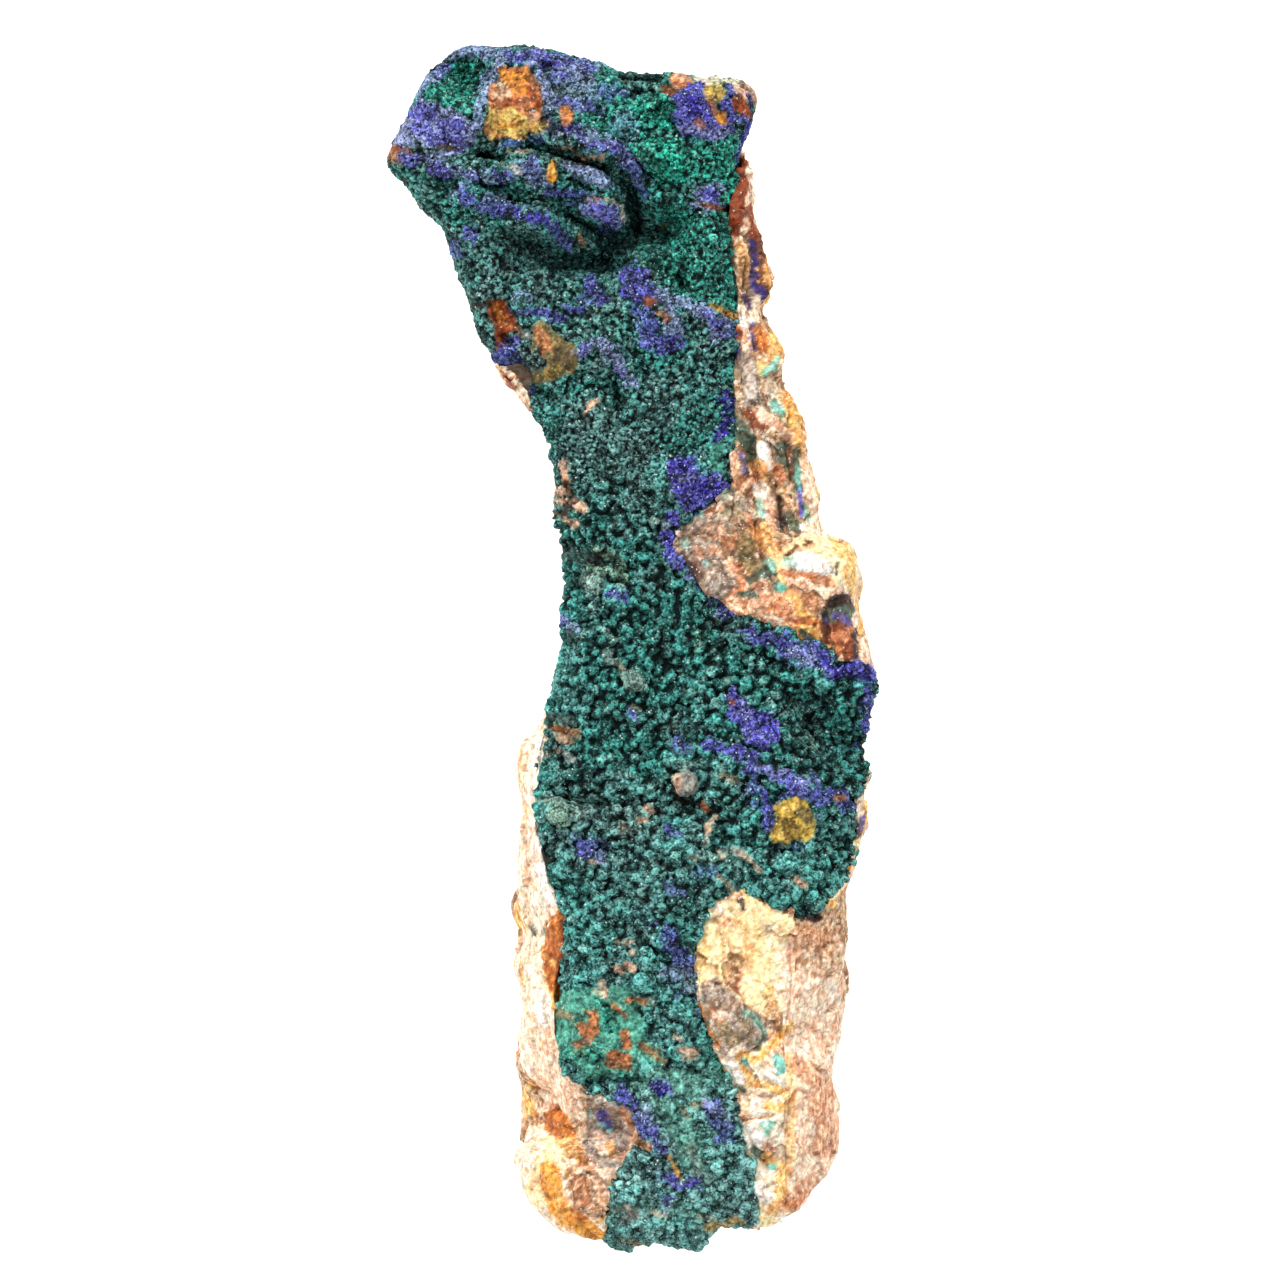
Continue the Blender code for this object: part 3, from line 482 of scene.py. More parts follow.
# The share of each change, and what it leaves of red, green and blue.
for share, left in (
    (ease(0.09, 0.0, np.abs(veins)) * 0.6 + ease(0.2, 0.5, veins) * 0.4, (1.15, 1.15, 1.15)),
    (ease(0.06, 0.0, np.abs(stains)) * 0.6 + ease(0.2, 0.5, stains) * 0.5 * (0.3 + dirt), (0.86, 0.66, 0.5)),
    (cracks * 0.6, (0.4, 0.34, 0.32)),
    (ease(0.1, 0.28, lighter) * (0.2 + 0.6 * dirt) * (1 - 0.6 * glassy), (1.26, 1.28, 1.3)),
    (ease(-0.12, -0.28, lighter) * 0.85 * (0.1 + dirt), (0.66, 0.56, 0.5)),
    (ease(0.1, 0.3, warmer) * 0.7 * (0.1 + dirt) * (1 - 0.6 * glassy), (1.06, 0.84, 0.62)),
    (ease(0.15, 0.35, cooler) * 0.8 * ease(0.4, 0.8, dirt), (0.72, 0.94, 0.86)),
    # Painted shade darkens the creases, the more where the tone is mottled, and a painted highlight lightens
    # the ridges.
    (ease(0.3, 2.0, hollow) * (0.2 + 0.6 * dirt), (0.6, 0.48, 0.4)),
    (ease(0.3, 2.0, -hollow) * 0.6, (1.1, 1.1, 1.1)),
):
    tone = tone * (1 - share[:, None] + share[:, None] * left)
pale = (ease(0.1, 0.0, np.abs(veins)) * 0.3 + ease(0.15, 0.3, lighter) * 0.3) * bright
tone = tone + pale[:, None] * ((246, 230, 208) - tone)
tone = np.minimum(tone, 241 + 0.3 * (tone - 241))
mottle, fleck = rough(places + 3.0, 1.2), rough(places + 13.0, 0.45)
mottling = 1.02 + 0.25 * mottle * (0.2 + dirt) + 0.35 * fleck * (0.15 + dirt)
specks = ease(0.32, 0.5, rough(places + 33.0, 0.5, 2)) * (0.1 + dirt)
tone = tone * np.clip(mottling - 0.35 * specks, 0.15, 1.2)[:, None]
stain(rock, "ground", daylight(tone))
stain(rock, "glassy", glassy)
stain(rock, "dirt", dirt)
rock_skin = bvhtree.BVHTree.FromObject(rock, bpy.context.evaluated_depsgraph_get())


class Shade:
    """A socket of a material's nodes, on which Python's own sums work."""

    def __init__(self, tree, socket=None):
        self.tree, self.socket = tree, socket

    def node(self, kind, settings, sockets):
        """Adds a node, sets it up, then fills its sockets or links them. Its first output comes back."""
        made = self.tree.nodes.new("ShaderNode" + kind)
        for name, value in settings.items():
            if name == "stops":
                ramp = made.color_ramp.elements
                while len(ramp) < len(value):
                    ramp.new(1.0)
                for element, (position, tone) in zip(ramp, value):
                    element.position, element.color = position, (tone, tone, tone, 1)
            else:
                setattr(made, name, value)
        for name, value in sockets.items():
            if isinstance(value, Shade):
                self.tree.links.new(value.socket, made.inputs[name])
            else:
                made.inputs[name].default_value = value
        return Shade(self.tree, next((o for o in made.outputs if o.enabled), None))

    def __getitem__(self, output):
        return Shade(self.tree, self.socket.node.outputs[output])

    def sum(self, operation, first, second):
        return self.node("Math", {"operation": operation}, {0: first, 1: second})

    def __add__(self, other):
        return self.sum("ADD", self, other)

    def __sub__(self, other):
        return self.sum("SUBTRACT", self, other)

    def __rsub__(self, other):
        return self.sum("SUBTRACT", other, self)

    def __mul__(self, other):
        return self.sum("MULTIPLY", self, other)

    __radd__, __rmul__ = __add__, __mul__

    def between(self, low, high):
        """0 below the low value, 1 above the high one, and eased in between."""
        ranged = {"interpolation_type": "SMOOTHSTEP"}
        return self.node("MapRange", ranged, {"Value": self, "From Min": low, "From Max": high})

    def mix(self, off, on):
        """One colour where this mask is 0 and another where it is 1."""
        off, on = (v if isinstance(v, Shade) else (*v, 1) for v in (off, on))
        return self.node("Mix", {"data_type": "RGBA"}, {0: self, 6: off, 7: on})[2]

    def darkened(self, by):
        """This colour, times a grey."""
        return self.node("Mix", {"data_type": "RGBA", "blend_type": "MULTIPLY"}, {0: 1.0, 6: self, 7: by})[2]

    def ramp(self, *stops):
        """A grey for each position of this value."""
        return self.node("ValToRGB", {"stops": stops}, {0: self})

    def kept(self, name, output="Fac"):
        """What the piece's vertices keep under a name."""
        return self.node("Attribute", {"attribute_name": name}, {})[output]

    def cloud(self, size, detail):
        """Soft noise from 0 to 1 whose features are that many millimetres across."""
        return self.node("TexNoise", {}, {"Vector": self, "Scale": 1 / (size * MM), "Detail": detail})

    def lots(self, size):
        """A lot from 0 to 1 that each of many small cells draws. They are that many millimetres across."""
        cells = self.node("TexVoronoi", {}, {"Vector": self, "Scale": 1 / (size * MM)})
        return self.node("SeparateColor", {}, {0: cells["Color"]})

    def line(self):
        """1 on the fine lines where this value passes through 0, and 0 elsewhere."""
        return 1 - (self * self).between(0.00005, 0.0004)


def new_material(name, gloss):
    """A material with nothing in it but its shader, and the Shade that its nodes are added from."""
    material = bpy.data.materials.new(name)
    material.use_nodes = True
    shader = material.node_tree.nodes["Principled BSDF"]
    shader.inputs["Specular IOR Level"].default_value = gloss
    return material, shader, Shade(material.node_tree)


def dressed(shader, **inputs):
    """Links what changes over the surface to the shader."""
    for name, value in inputs.items():
        value.tree.links.new(value.socket, shader.inputs[name.replace("_", " ")])


stone, shader, wiring = new_material("iron-stained quartz rock", 0.3)
where = wiring.node("TexCoord", {}, {})["Object"]
glass, dirty = wiring.kept("glassy"), wiring.kept("dirt")
dust, speckle = where.cloud(0.26, 3.0), where.cloud(0.7, 5.0)
grain = (dust - 0.5) * 0.9 + (speckle - 0.5) * 0.9 + 0.6
colour = wiring.kept("ground", "Color").darkened(grain.ramp((0.1, 0.65), (0.45, 0.9), (0.7, 1.0)))
crumb, glint = where.lots(0.32), where.lots(0.18).between(0.985, 0.99)
rift, thread = where.cloud(2.2, 6.0) - 0.5, where.cloud(1.5, 6.0) - 0.5
colour = (crumb.between(0.8, 0.9) * dirty * 0.4).mix(colour, (0.3, 0.13, 0.06))
colour = (thread.line() * (0.5 - dirty)).mix(colour, (0.95, 0.86, 0.74))
colour = (rift.line() * dirty * 0.8).mix(colour, (0.12, 0.06, 0.035))
colour = (glint * 0.5).mix(colour, (0.95, 0.93, 0.9))
bumps = speckle + dust * 0.6 + crumb * 0.2
bump = wiring.node("Bump", {}, {"Strength": 0.4, "Distance": 0.2 * MM, "Height": bumps})
dressed(shader, Base_Color=colour, Roughness=0.9 - glass * 0.45 - glint * 0.3, Normal=bump)


def finished(piece, material, node, rows, names):
    """Turns a piece to metres, gives it its material, and puts it in place of its CAD solid. It is cut across
    at rows of the photograph into closed pieces, one for each name, so that none has too many faces."""
    origin = photo_pixels(np.zeros((1, 3)))[0, 1]
    piece.data.materials.clear()
    for name, top_row, foot_row in zip(names, (None, *rows), (*rows, None)):
        shape = bmesh.new()
        shape.from_mesh(piece.data)
        for row, keeps_foot in ((top_row, True), (foot_row, False)):
            if row is None:
                continue
            cut = (0, (origin - row) * PIXEL, 0)
            whole = [*shape.verts, *shape.edges, *shape.faces]
            cleared = {"clear_inner": not keeps_foot, "clear_outer": keeps_foot}
            bmesh.ops.bisect_plane(shape, geom=whole, plane_co=cut, plane_no=(0, 1, 0), **cleared)
            rim = [e for e in shape.edges if e.is_boundary]
            for edge in rim:
                edge.smooth = False
            bmesh.ops.holes_fill(shape, edges=rim, sides=0)
        bmesh.ops.scale(shape, vec=(MM,) * 3, verts=shape.verts)
        part = bpy.data.objects.new(name, bpy.data.meshes.new(name))
        shape.to_mesh(part.data)
        shape.free()
        part.data.materials.append(material)
        bpy.context.scene.collection.objects.link(part)
        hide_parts(node)
        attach(part, "root")
    bpy.data.objects.remove(piece)


finished(rock, stone, ROCK, ROCK_CUTS, ("host_rock_wide_end", "host_rock_middle", "host_rock_foot"))


# The crust: malachite in packed green grains of about a millimetre, with patches and seams of blue azurite
# and windows of bare ochre. It grew as one sheet on the rock's front, and broke off with it at the edges.
CRUST_NET, CRUST_STEEPS = 0.8, (-0.3, 0.12)
CRUST_CUTS = 345, 750
LARGE_GRAIN, MIDDLING_GRAIN, FINE_GRAIN, CLUSTER = 1.2, 0.8, 0.56, 3.4
RIM_TOP, RIM_REACH = 170, 2.2
NECK_ROW = 455
# Colour where it is brightest, from 0 to 255, then how much of it is azurite, and how much is bare of grains.
ORE_TONES = {
    "malachite": (66, 150, 140, 0, 0), "emerald": (42, 174, 146, 0, 0), "greyed": (106, 144, 140, 0, 0),
    "dark": (46, 104, 98, 0, 0), "pale": (156, 186, 172, 0, 0.25), "teal": (98, 194, 184, 0.3, 0.2),
    "azurite": (92, 88, 190, 1, 0), "indigo": (62, 50, 172, 1, 0), "lavender": (156, 162, 216, 0.9, 0),
    "copper": (196, 124, 80, 0, 1), "rust": (140, 66, 32, 0, 1), "amber": (222, 142, 54, 0, 1),
    "gold": (255, 200, 112, 0, 1), "olive": (126, 110, 70, 0, 1), "yellow": (204, 168, 74, 0, 1),
    "flesh": (228, 178, 148, 0, 1), "cream": (240, 220, 188, 0, 1), "umber": (66, 48, 42, 0, 1),
    "stone": (166, 154, 144, 0, 1), "moss": (136, 172, 142, 0, 0.2), "film": (92, 172, 148, 0, 0.85),
}
ORE_STREAKS = [
    # Broad drifts of green.
    ("emerald", 0.9, 16, 650, 104, 672, 112), ("emerald", 0.8, 20, 650, 152, 672, 164),
    ("emerald", 0.7, 26, 690, 152, 730, 160, 728, 190), ("emerald", 0.5, 40, 680, 240, 715, 270),
    ("emerald", 0.45, 22, 600, 100, 640, 130), ("emerald", 1, 10, 420, 92, 442, 97, 462, 104, 478, 112),
    ("emerald", 0.9, 8, 438, 70, 470, 64), ("teal", 0.6, 6, 424, 96, 446, 98, 472, 106),
    ("emerald", 0.4, 9, 434, 98, 476, 104), ("emerald", 0.6, 10, 462, 84, 482, 78, 486, 92),
    ("greyed", 0.35, 40, 560, 300, 600, 330), ("greyed", 0.4, 44, 600, 430, 650, 500),
    # The dark streaks over the trough below the ridges and over the hollow in the broad part are painted
    # shade.
    ("greyed", 0.5, 40, 480, 260, 520, 280), ("dark", 0.5, 26, 560, 250, 640, 240),
    ("dark", 0.4, 34, 810, 720, 830, 760), ("greyed", 0.5, 30, 600, 800, 660, 810),
    ("greyed", 0.4, 36, 590, 850, 660, 880), ("teal", 0.35, 26, 570, 660, 566, 700),
    ("teal", 0.3, 20, 700, 730, 720, 780), ("emerald", 0.6, 18, 575, 1040, 600, 1056),
    ("emerald", 0.7, 14, 600, 1000, 608, 1012), ("emerald", 0.6, 22, 696, 1116, 700, 1150),
    ("teal", 0.4, 24, 650, 1200, 700, 1210), ("greyed", 0.5, 22, 640, 1170, 650, 1200),
    ("film", 1, 6, 566, 1000, 600, 992, 636, 996, 640, 1030, 660, 1060, 640, 1074, 590, 1070, 564, 1046,
     566, 1000),
    ("film", 0.8, 12, 650, 1080, 690, 1086), ("film", 0.7, 14, 662, 1104, 690, 1140),
    ("film", 0.6, 10, 620, 1076, 650, 1080), ("film", 0.6, 14, 700, 1180, 690, 1150),
    ("film", 0.5, 12, 700, 1060, 716, 1080), ("film", 0.5, 12, 650, 1206, 690, 1212),
    ("pale", 0.3, 34, 650, 1200, 706, 1206), ("pale", 0.25, 36, 664, 1100, 690, 1150),
    ("teal", 0.5, 8, 562, 640, 560, 690), ("teal", 0.4, 30, 690, 850, 740, 880),
    ("teal", 0.35, 24, 650, 990, 690, 1040),
    # The wide end: azurite along its top and left, and on the ridges.
    ("lavender", 0.8, 6, 452, 46, 470, 45, 500, 50, 540, 52),
    ("lavender", 0.8, 5, 450, 50, 438, 66, 428, 80, 418, 92), ("azurite", 0.6, 4, 446, 58, 436, 70),
    ("lavender", 0.75, 10, 535, 56, 560, 62, 588, 64), ("azurite", 0.8, 6, 510, 52, 540, 54, 560, 58),
    ("lavender", 0.6, 20, 556, 84, 580, 92), ("azurite", 0.7, 6, 566, 58, 590, 64),
    ("azurite", 0.7, 6, 556, 74, 570, 80), ("indigo", 0.9, 5, 540, 64, 548, 61),
    ("lavender", 0.8, 3, 576, 62, 578, 74), ("greyed", 0.6, 7, 560, 86, 572, 84),
    ("lavender", 0.8, 5, 498, 62, 486, 84, 480, 104, 478, 120),
    ("lavender", 0.7, 5, 532, 66, 544, 90, 548, 112, 546, 124),
    ("azurite", 0.6, 5, 556, 100, 580, 102, 600, 108), ("lavender", 0.7, 5, 548, 120, 556, 128),
    ("lavender", 0.95, 7, 418, 108, 432, 106, 446, 112, 464, 120, 468, 130, 458, 142, 440, 138, 420, 142,
     398, 142, 396, 132, 406, 122, 418, 108),
    ("azurite", 0.9, 8, 420, 110, 430, 112), ("azurite", 0.8, 8, 444, 122, 458, 124),
    ("azurite", 0.7, 6, 416, 126, 428, 130), ("azurite", 0.8, 7, 434, 136, 452, 138),
    ("greyed", 0.7, 5, 412, 146, 440, 150), ("rust", 0.9, 4, 390, 146, 408, 150),
    ("copper", 0.9, 4, 390, 152, 400, 158), ("umber", 0.8, 3, 440, 144, 456, 148),
    ("rust", 0.5, 2, 448, 145, 458, 147), ("lavender", 0.8, 5, 402, 154, 426, 156, 450, 154),
    ("azurite", 0.8, 4, 404, 157, 420, 158), ("azurite", 0.7, 4, 456, 146, 466, 142),
    ("lavender", 0.65, 5, 434, 165, 460, 172, 486, 176, 514, 172), ("azurite", 0.85, 5, 434, 166, 446, 172),
    ("azurite", 0.8, 4, 498, 172, 512, 172), ("azurite", 0.5, 3, 460, 172, 478, 174),
    ("lavender", 0.6, 5, 462, 184, 450, 192), ("azurite", 0.85, 4.5, 466, 194, 484, 204, 500, 206),
    ("azurite", 0.9, 3.5, 500, 208, 520, 215, 546, 218), ("indigo", 0.8, 2.5, 514, 214, 540, 217),
    ("azurite", 0.8, 4, 550, 224, 560, 232, 568, 242), ("lavender", 0.6, 5, 488, 196, 506, 200),
    ("azurite", 0.8, 4, 466, 231, 474, 233), ("azurite", 0.6, 4, 452, 240, 458, 250),
    ("lavender", 0.8, 6, 564, 126, 582, 134, 604, 142, 622, 150, 636, 162),
    ("azurite", 0.8, 5, 566, 126, 580, 132), ("azurite", 0.75, 4, 594, 142, 616, 148),
    ("azurite", 0.6, 5, 626, 156, 636, 168, 644, 186), ("azurite", 0.6, 4, 505, 142, 516, 144),
    ("azurite", 0.6, 4, 530, 136, 540, 134), ("lavender", 0.75, 8, 526, 168, 540, 172),
    ("lavender", 0.8, 6, 566, 164, 590, 174, 604, 182), ("azurite", 0.8, 4, 548, 188, 566, 194, 580, 197),
    ("azurite", 0.5, 5, 530, 164, 538, 176), ("umber", 0.6, 3, 584, 196, 598, 198),
    ("lavender", 0.9, 8, 592, 202, 604, 208, 612, 214), ("azurite", 0.8, 5, 592, 202, 606, 208, 612, 218),
    ("cream", 0.9, 2.5, 614, 198, 620, 204, 620, 212),
    ("flesh", 0.8, 1.5, 508, 150, 530, 154, 558, 159, 586, 167),
    ("flesh", 0.7, 1.5, 592, 198, 604, 198, 616, 203), ("cream", 0.6, 1.5, 584, 160, 594, 162),
    ("azurite", 0.8, 3, 600, 224, 612, 224), ("copper", 0.7, 3, 578, 233, 582, 240),
    # The quartz plug in it, amber above and gold below, and the smaller windows beside it.
    ("copper", 1, 2, 502, 66, 524, 64, 531, 76, 538, 90, 541, 104, 540, 118, 546, 124, 530, 128, 520, 136,
     506, 132, 494, 136, 484, 122, 487, 104, 492, 88, 500, 80, 502, 66),
    ("amber", 0.9, 7, 506, 72, 522, 74), ("flesh", 0.8, 5, 496, 94, 508, 90),
    ("amber", 0.8, 5, 516, 86, 524, 88), ("rust", 0.8, 4, 530, 88, 538, 102),
    ("rust", 0.7, 3, 504, 104, 518, 98), ("cream", 0.9, 3, 500, 82, 503, 84),
    ("rust", 0.6, 3, 508, 66, 520, 66), ("flesh", 0.7, 4, 532, 110, 536, 118),
    ("gold", 1, 2, 487, 108, 500, 110, 512, 106, 520, 112, 530, 120, 526, 128, 518, 136, 508, 131, 497, 130,
     491, 136, 484, 124, 487, 108),
    ("gold", 0.9, 4, 530, 124, 546, 124), ("amber", 0.7, 3, 496, 120, 516, 122),
    ("copper", 0.6, 4, 484, 124, 488, 132), ("copper", 1, 6, 564, 108, 566, 118),
    ("amber", 0.5, 3, 564, 106, 568, 114), ("amber", 1, 5, 550, 168, 552, 176),
    ("gold", 0.6, 3, 549, 168, 552, 170), ("flesh", 0.9, 2.5, 556, 144, 572, 144),
    ("flesh", 0.9, 2.5, 592, 152, 602, 154), ("cream", 0.9, 2.5, 580, 152, 586, 160),
    ("cream", 0.7, 2.5, 518, 150, 526, 157), ("cream", 0.6, 2, 500, 163, 514, 166, 520, 172),
    ("copper", 0.8, 2, 572, 158, 580, 162), ("rust", 0.6, 2, 574, 150, 590, 158),
    # The right corner: a block of azurite with its own windows.
    ("copper", 1, 9, 680, 78, 686, 84), ("rust", 0.9, 6, 668, 88, 674, 94),
    ("flesh", 0.8, 3, 678, 74, 690, 78),
    ("azurite", 1, 3, 674, 98, 684, 90, 692, 84, 703, 82, 712, 100, 716, 120, 726, 120, 733, 108, 736, 96,
     730, 122, 720, 132, 700, 134, 683, 130, 680, 112, 674, 98),
    ("indigo", 0.8, 7, 692, 98, 700, 112), ("lavender", 0.8, 5, 684, 124, 700, 130, 722, 129),
    ("azurite", 1, 6, 724, 96, 731, 104), ("azurite", 0.9, 4, 728, 84, 734, 90),
    ("yellow", 0.9, 3, 706, 86, 720, 84, 724, 92, 714, 99, 708, 96, 706, 86),
    ("cream", 0.8, 3, 704, 79, 726, 80), ("copper", 0.8, 4, 712, 100, 716, 112),
    ("amber", 1, 5, 721, 113, 722, 118), ("copper", 0.7, 4, 696, 118, 702, 122),
    ("flesh", 1, 7, 740, 86, 750, 92), ("rust", 1, 7, 738, 100, 744, 110),
    ("copper", 0.8, 3, 742, 84, 748, 84), ("azurite", 0.9, 4, 750, 92, 752, 98),
    ("cream", 0.9, 4, 698, 75, 722, 76, 738, 79), ("flesh", 0.9, 4, 744, 80, 752, 85, 757, 94, 757, 108),
    ("azurite", 0.8, 4, 738, 116, 746, 116), ("indigo", 1, 4, 748, 122, 747, 132, 743, 142, 742, 154),
    ("lavender", 0.85, 6, 704, 184, 714, 184, 714, 202, 698, 200, 704, 184),
    ("azurite", 0.9, 6, 704, 192, 712, 192), ("rust", 0.9, 2.5, 702, 202, 718, 206),
    ("lavender", 0.6, 4, 694, 204, 704, 210), ("teal", 0.7, 4, 738, 166, 746, 170),
    ("azurite", 0.7, 4, 612, 86, 622, 90), ("rust", 0.5, 3, 660, 222, 664, 222),
    ("lavender", 0.4, 12, 622, 122, 628, 132), ("azurite", 0.5, 4, 600, 84, 606, 96),
    # Below the wide end.
    ("azurite", 0.9, 5, 623, 272, 636, 272, 640, 280), ("azurite", 0.95, 10, 634, 288, 650, 296),
    ("azurite", 0.8, 8, 644, 312, 652, 320),
    ("lavender", 0.8, 8, 660, 296, 680, 302, 700, 308, 720, 322, 716, 332),
    ("lavender", 0.8, 10, 668, 318, 676, 330), ("azurite", 0.9, 8, 650, 338, 664, 346, 674, 340),
    ("azurite", 0.7, 6, 704, 314, 716, 322), ("azurite", 0.6, 5, 640, 328, 656, 328),
    ("greyed", 0.6, 6, 690, 318, 700, 322), ("umber", 0.7, 5, 646, 298, 654, 304),
    ("rust", 0.7, 4, 648, 300, 652, 302), ("copper", 0.8, 4, 660, 312, 668, 318),
    ("amber", 0.9, 2.5, 712, 304, 722, 308, 727, 316), ("azurite", 0.6, 4, 724, 330, 732, 334),
    ("azurite", 0.9, 7, 590, 286, 600, 296), ("azurite", 0.8, 4, 602, 300, 610, 300),
    ("azurite", 0.85, 4, 568, 308, 580, 307), ("azurite", 0.5, 4, 582, 298, 588, 304),
    ("teal", 0.8, 9, 514, 296, 528, 302), ("lavender", 0.6, 5, 518, 294, 526, 298),
    ("azurite", 0.8, 4, 512, 310, 518, 314), ("azurite", 0.85, 4, 530, 311, 548, 312, 562, 318),
    ("teal", 0.7, 4, 524, 318, 540, 320), ("greyed", 0.7, 8, 484, 290, 500, 292),
    ("rust", 1, 2, 489, 300, 503, 299, 509, 310, 516, 320, 518, 328, 508, 328, 503, 344, 497, 344, 496, 326,
     489, 312, 489, 300),
    ("amber", 0.6, 4, 494, 304, 500, 318), ("umber", 0.8, 3, 476, 303, 488, 303),
    ("copper", 0.7, 3, 510, 322, 516, 326), ("stone", 0.7, 4, 520, 332, 534, 338),
    ("umber", 0.6, 3, 516, 338, 522, 332),
    ("olive", 1, 2, 533, 326, 542, 321, 552, 331, 561, 339, 572, 345, 577, 354, 574, 370, 561, 373, 551,
     379, 538, 379, 529, 370, 534, 350, 533, 326),
    ("copper", 0.8, 6, 538, 330, 546, 344), ("rust", 0.6, 3, 540, 348, 544, 354),
    ("greyed", 0.9, 9, 522, 350, 540, 360), ("yellow", 0.6, 4, 546, 372, 556, 368),
    ("umber", 0.35, 7, 560, 352, 566, 360),
    ("azurite", 0.85, 5, 496, 354, 510, 350, 520, 360, 528, 376, 533, 396),
    ("azurite", 0.7, 4, 500, 344, 516, 340), ("lavender", 0.5, 4, 524, 384, 532, 404),
    ("lavender", 0.85, 5, 578, 354, 586, 344, 598, 342, 610, 350, 618, 360, 624, 372, 632, 384),
    ("azurite", 0.7, 3, 580, 352, 588, 344), ("azurite", 0.6, 3, 616, 364, 622, 372),
    ("teal", 0.5, 5, 632, 390, 636, 404), ("flesh", 1, 2.5, 597, 399, 589, 406, 585, 412),
    ("teal", 0.7, 7, 544, 402, 550, 410), ("flesh", 0.95, 4, 564, 462, 566, 474, 567, 482),
    ("flesh", 0.9, 5, 558, 490, 568, 491), ("copper", 0.6, 2.5, 564, 478, 568, 484),
    ("pale", 0.8, 5, 554, 502, 560, 505), ("flesh", 0.9, 4, 560, 500, 566, 502),
    ("flesh", 0.95, 6, 574, 502, 582, 508), ("rust", 0.7, 2.5, 552, 514, 562, 513),
    ("umber", 0.8, 3, 567, 504, 567, 516), ("flesh", 0.95, 4, 566, 520, 576, 524),
    ("azurite", 0.5, 2.5, 550, 446, 552, 458),
    # The neck, and the seams of azurite round the bare rock.
    ("teal", 1, 8, 716, 442, 716, 474), ("film", 0.8, 6, 716, 446, 716, 470),
    ("teal", 0.6, 8, 660, 462, 664, 480), ("teal", 0.5, 6, 650, 474, 656, 480),
    ("indigo", 1, 2.5, 724, 390, 723, 412, 722, 432, 717, 441),
    ("azurite", 1, 3, 668, 464, 680, 457, 694, 460, 702, 472, 720, 480, 732, 481, 722, 490, 706, 494, 692,
     502, 684, 506, 677, 495, 671, 482, 668, 464),
    ("indigo", 0.8, 5, 676, 464, 688, 466), ("indigo", 0.7, 6, 690, 486, 714, 486),
    ("teal", 0.8, 4, 698, 462, 702, 472), ("lavender", 0.5, 4, 680, 478, 692, 478),
    ("azurite", 1, 6, 674, 514, 667, 526, 667, 542, 671, 556), ("indigo", 0.7, 4, 668, 520, 668, 548),
    ("azurite", 0.9, 3, 676, 566, 690, 580, 704, 594, 716, 608, 730, 620),
    ("lavender", 0.6, 2.5, 684, 576, 694, 582), ("azurite", 0.85, 5, 744, 630, 760, 638, 784, 644),
    ("azurite", 0.85, 6, 784, 648, 804, 656, 824, 668, 846, 676), ("azurite", 1, 7, 836, 674, 874, 670),
    ("indigo", 0.7, 5, 836, 674, 868, 676), ("lavender", 0.7, 4, 790, 652, 812, 662),
    ("indigo", 0.8, 4, 820, 658, 830, 664), ("teal", 0.6, 6, 810, 674, 826, 684),
    ("teal", 0.5, 6, 846, 686, 866, 690), ("azurite", 0.9, 4, 871, 690, 868, 715, 866, 734),
    ("azurite", 0.7, 4, 852, 746, 862, 740), ("teal", 0.4, 9, 846, 750, 850, 765),
    ("pale", 0.8, 4, 656, 520, 664, 524), ("pale", 0.7, 3, 604, 634, 612, 640),
    ("moss", 0.6, 3, 700, 634, 695, 650), ("teal", 0.6, 5, 688, 588, 694, 592),
    ("teal", 0.6, 5, 682, 676, 688, 682), ("lavender", 0.7, 5, 562, 620, 574, 626),
    ("azurite", 0.5, 3, 562, 616, 564, 628), ("moss", 0.8, 5, 596, 552, 612, 557, 622, 572, 622, 584),
    ("moss", 0.6, 5, 600, 570, 614, 572), ("moss", 0.6, 6, 584, 574, 600, 574),
    ("umber", 0.5, 9, 572, 552, 596, 560), ("pale", 0.85, 8, 590, 582, 598, 586),
    ("teal", 0.8, 9, 610, 594, 622, 602), ("azurite", 0.85, 4, 612, 594, 618, 596),
    ("pale", 0.85, 8, 630, 676, 636, 684), ("greyed", 0.7, 5, 606, 650, 614, 662),
    ("copper", 0.5, 3, 618, 664, 622, 668), ("stone", 0.4, 5, 606, 656, 612, 660),
    ("teal", 0.8, 6, 630, 712, 640, 718), ("azurite", 0.8, 3, 628, 710, 634, 714),
    ("pale", 0.7, 4, 668, 728, 674, 726), ("copper", 0.6, 2, 630, 706, 640, 710),
    # The broad part: a wedge and a seam of azurite, and the yellow window.
    ("teal", 0.5, 14, 732, 704, 770, 724), ("teal", 0.45, 11, 704, 744, 760, 764, 796, 782),
    ("azurite", 1, 3, 727, 700, 737, 696, 745, 707, 758, 712, 772, 720, 779, 730, 774, 738, 767, 740, 770,
     750, 764, 750, 758, 741, 746, 738, 739, 722, 731, 716, 727, 700),
    ("indigo", 0.5, 6, 750, 720, 770, 730), ("rust", 0.9, 2.5, 730, 702, 733, 703),
    ("lavender", 0.4, 4, 742, 712, 752, 722), ("azurite", 0.95, 5, 708, 742, 720, 748, 736, 752),
    ("azurite", 0.95, 6, 738, 752, 756, 758), ("azurite", 0.9, 6, 750, 766, 768, 770, 784, 778, 798, 784),
    ("lavender", 0.6, 5, 760, 764, 780, 774), ("azurite", 0.85, 6, 798, 790, 818, 796),
    ("azurite", 0.85, 6, 828, 796, 842, 792, 847, 808), ("lavender", 0.6, 4, 800, 780, 814, 784),
    ("azurite", 0.5, 5, 814, 780, 818, 786), ("azurite", 0.9, 5, 767, 796, 770, 812, 768, 828),
    ("azurite", 0.6, 5, 757, 786, 766, 796), ("azurite", 0.8, 3, 780, 800, 796, 796),
    ("teal", 0.8, 3, 768, 840, 786, 846, 806, 846, 818, 836), ("azurite", 0.5, 2.5, 776, 846, 800, 848),
    ("lavender", 0.5, 3, 816, 812, 818, 830), ("copper", 0.9, 3, 836, 798, 842, 798),
    ("azurite", 0.5, 5, 750, 800, 756, 806),
    ("yellow", 1, 2, 776, 808, 786, 803, 801, 798, 807, 806, 812, 818, 812, 832, 806, 840, 794, 838, 784,
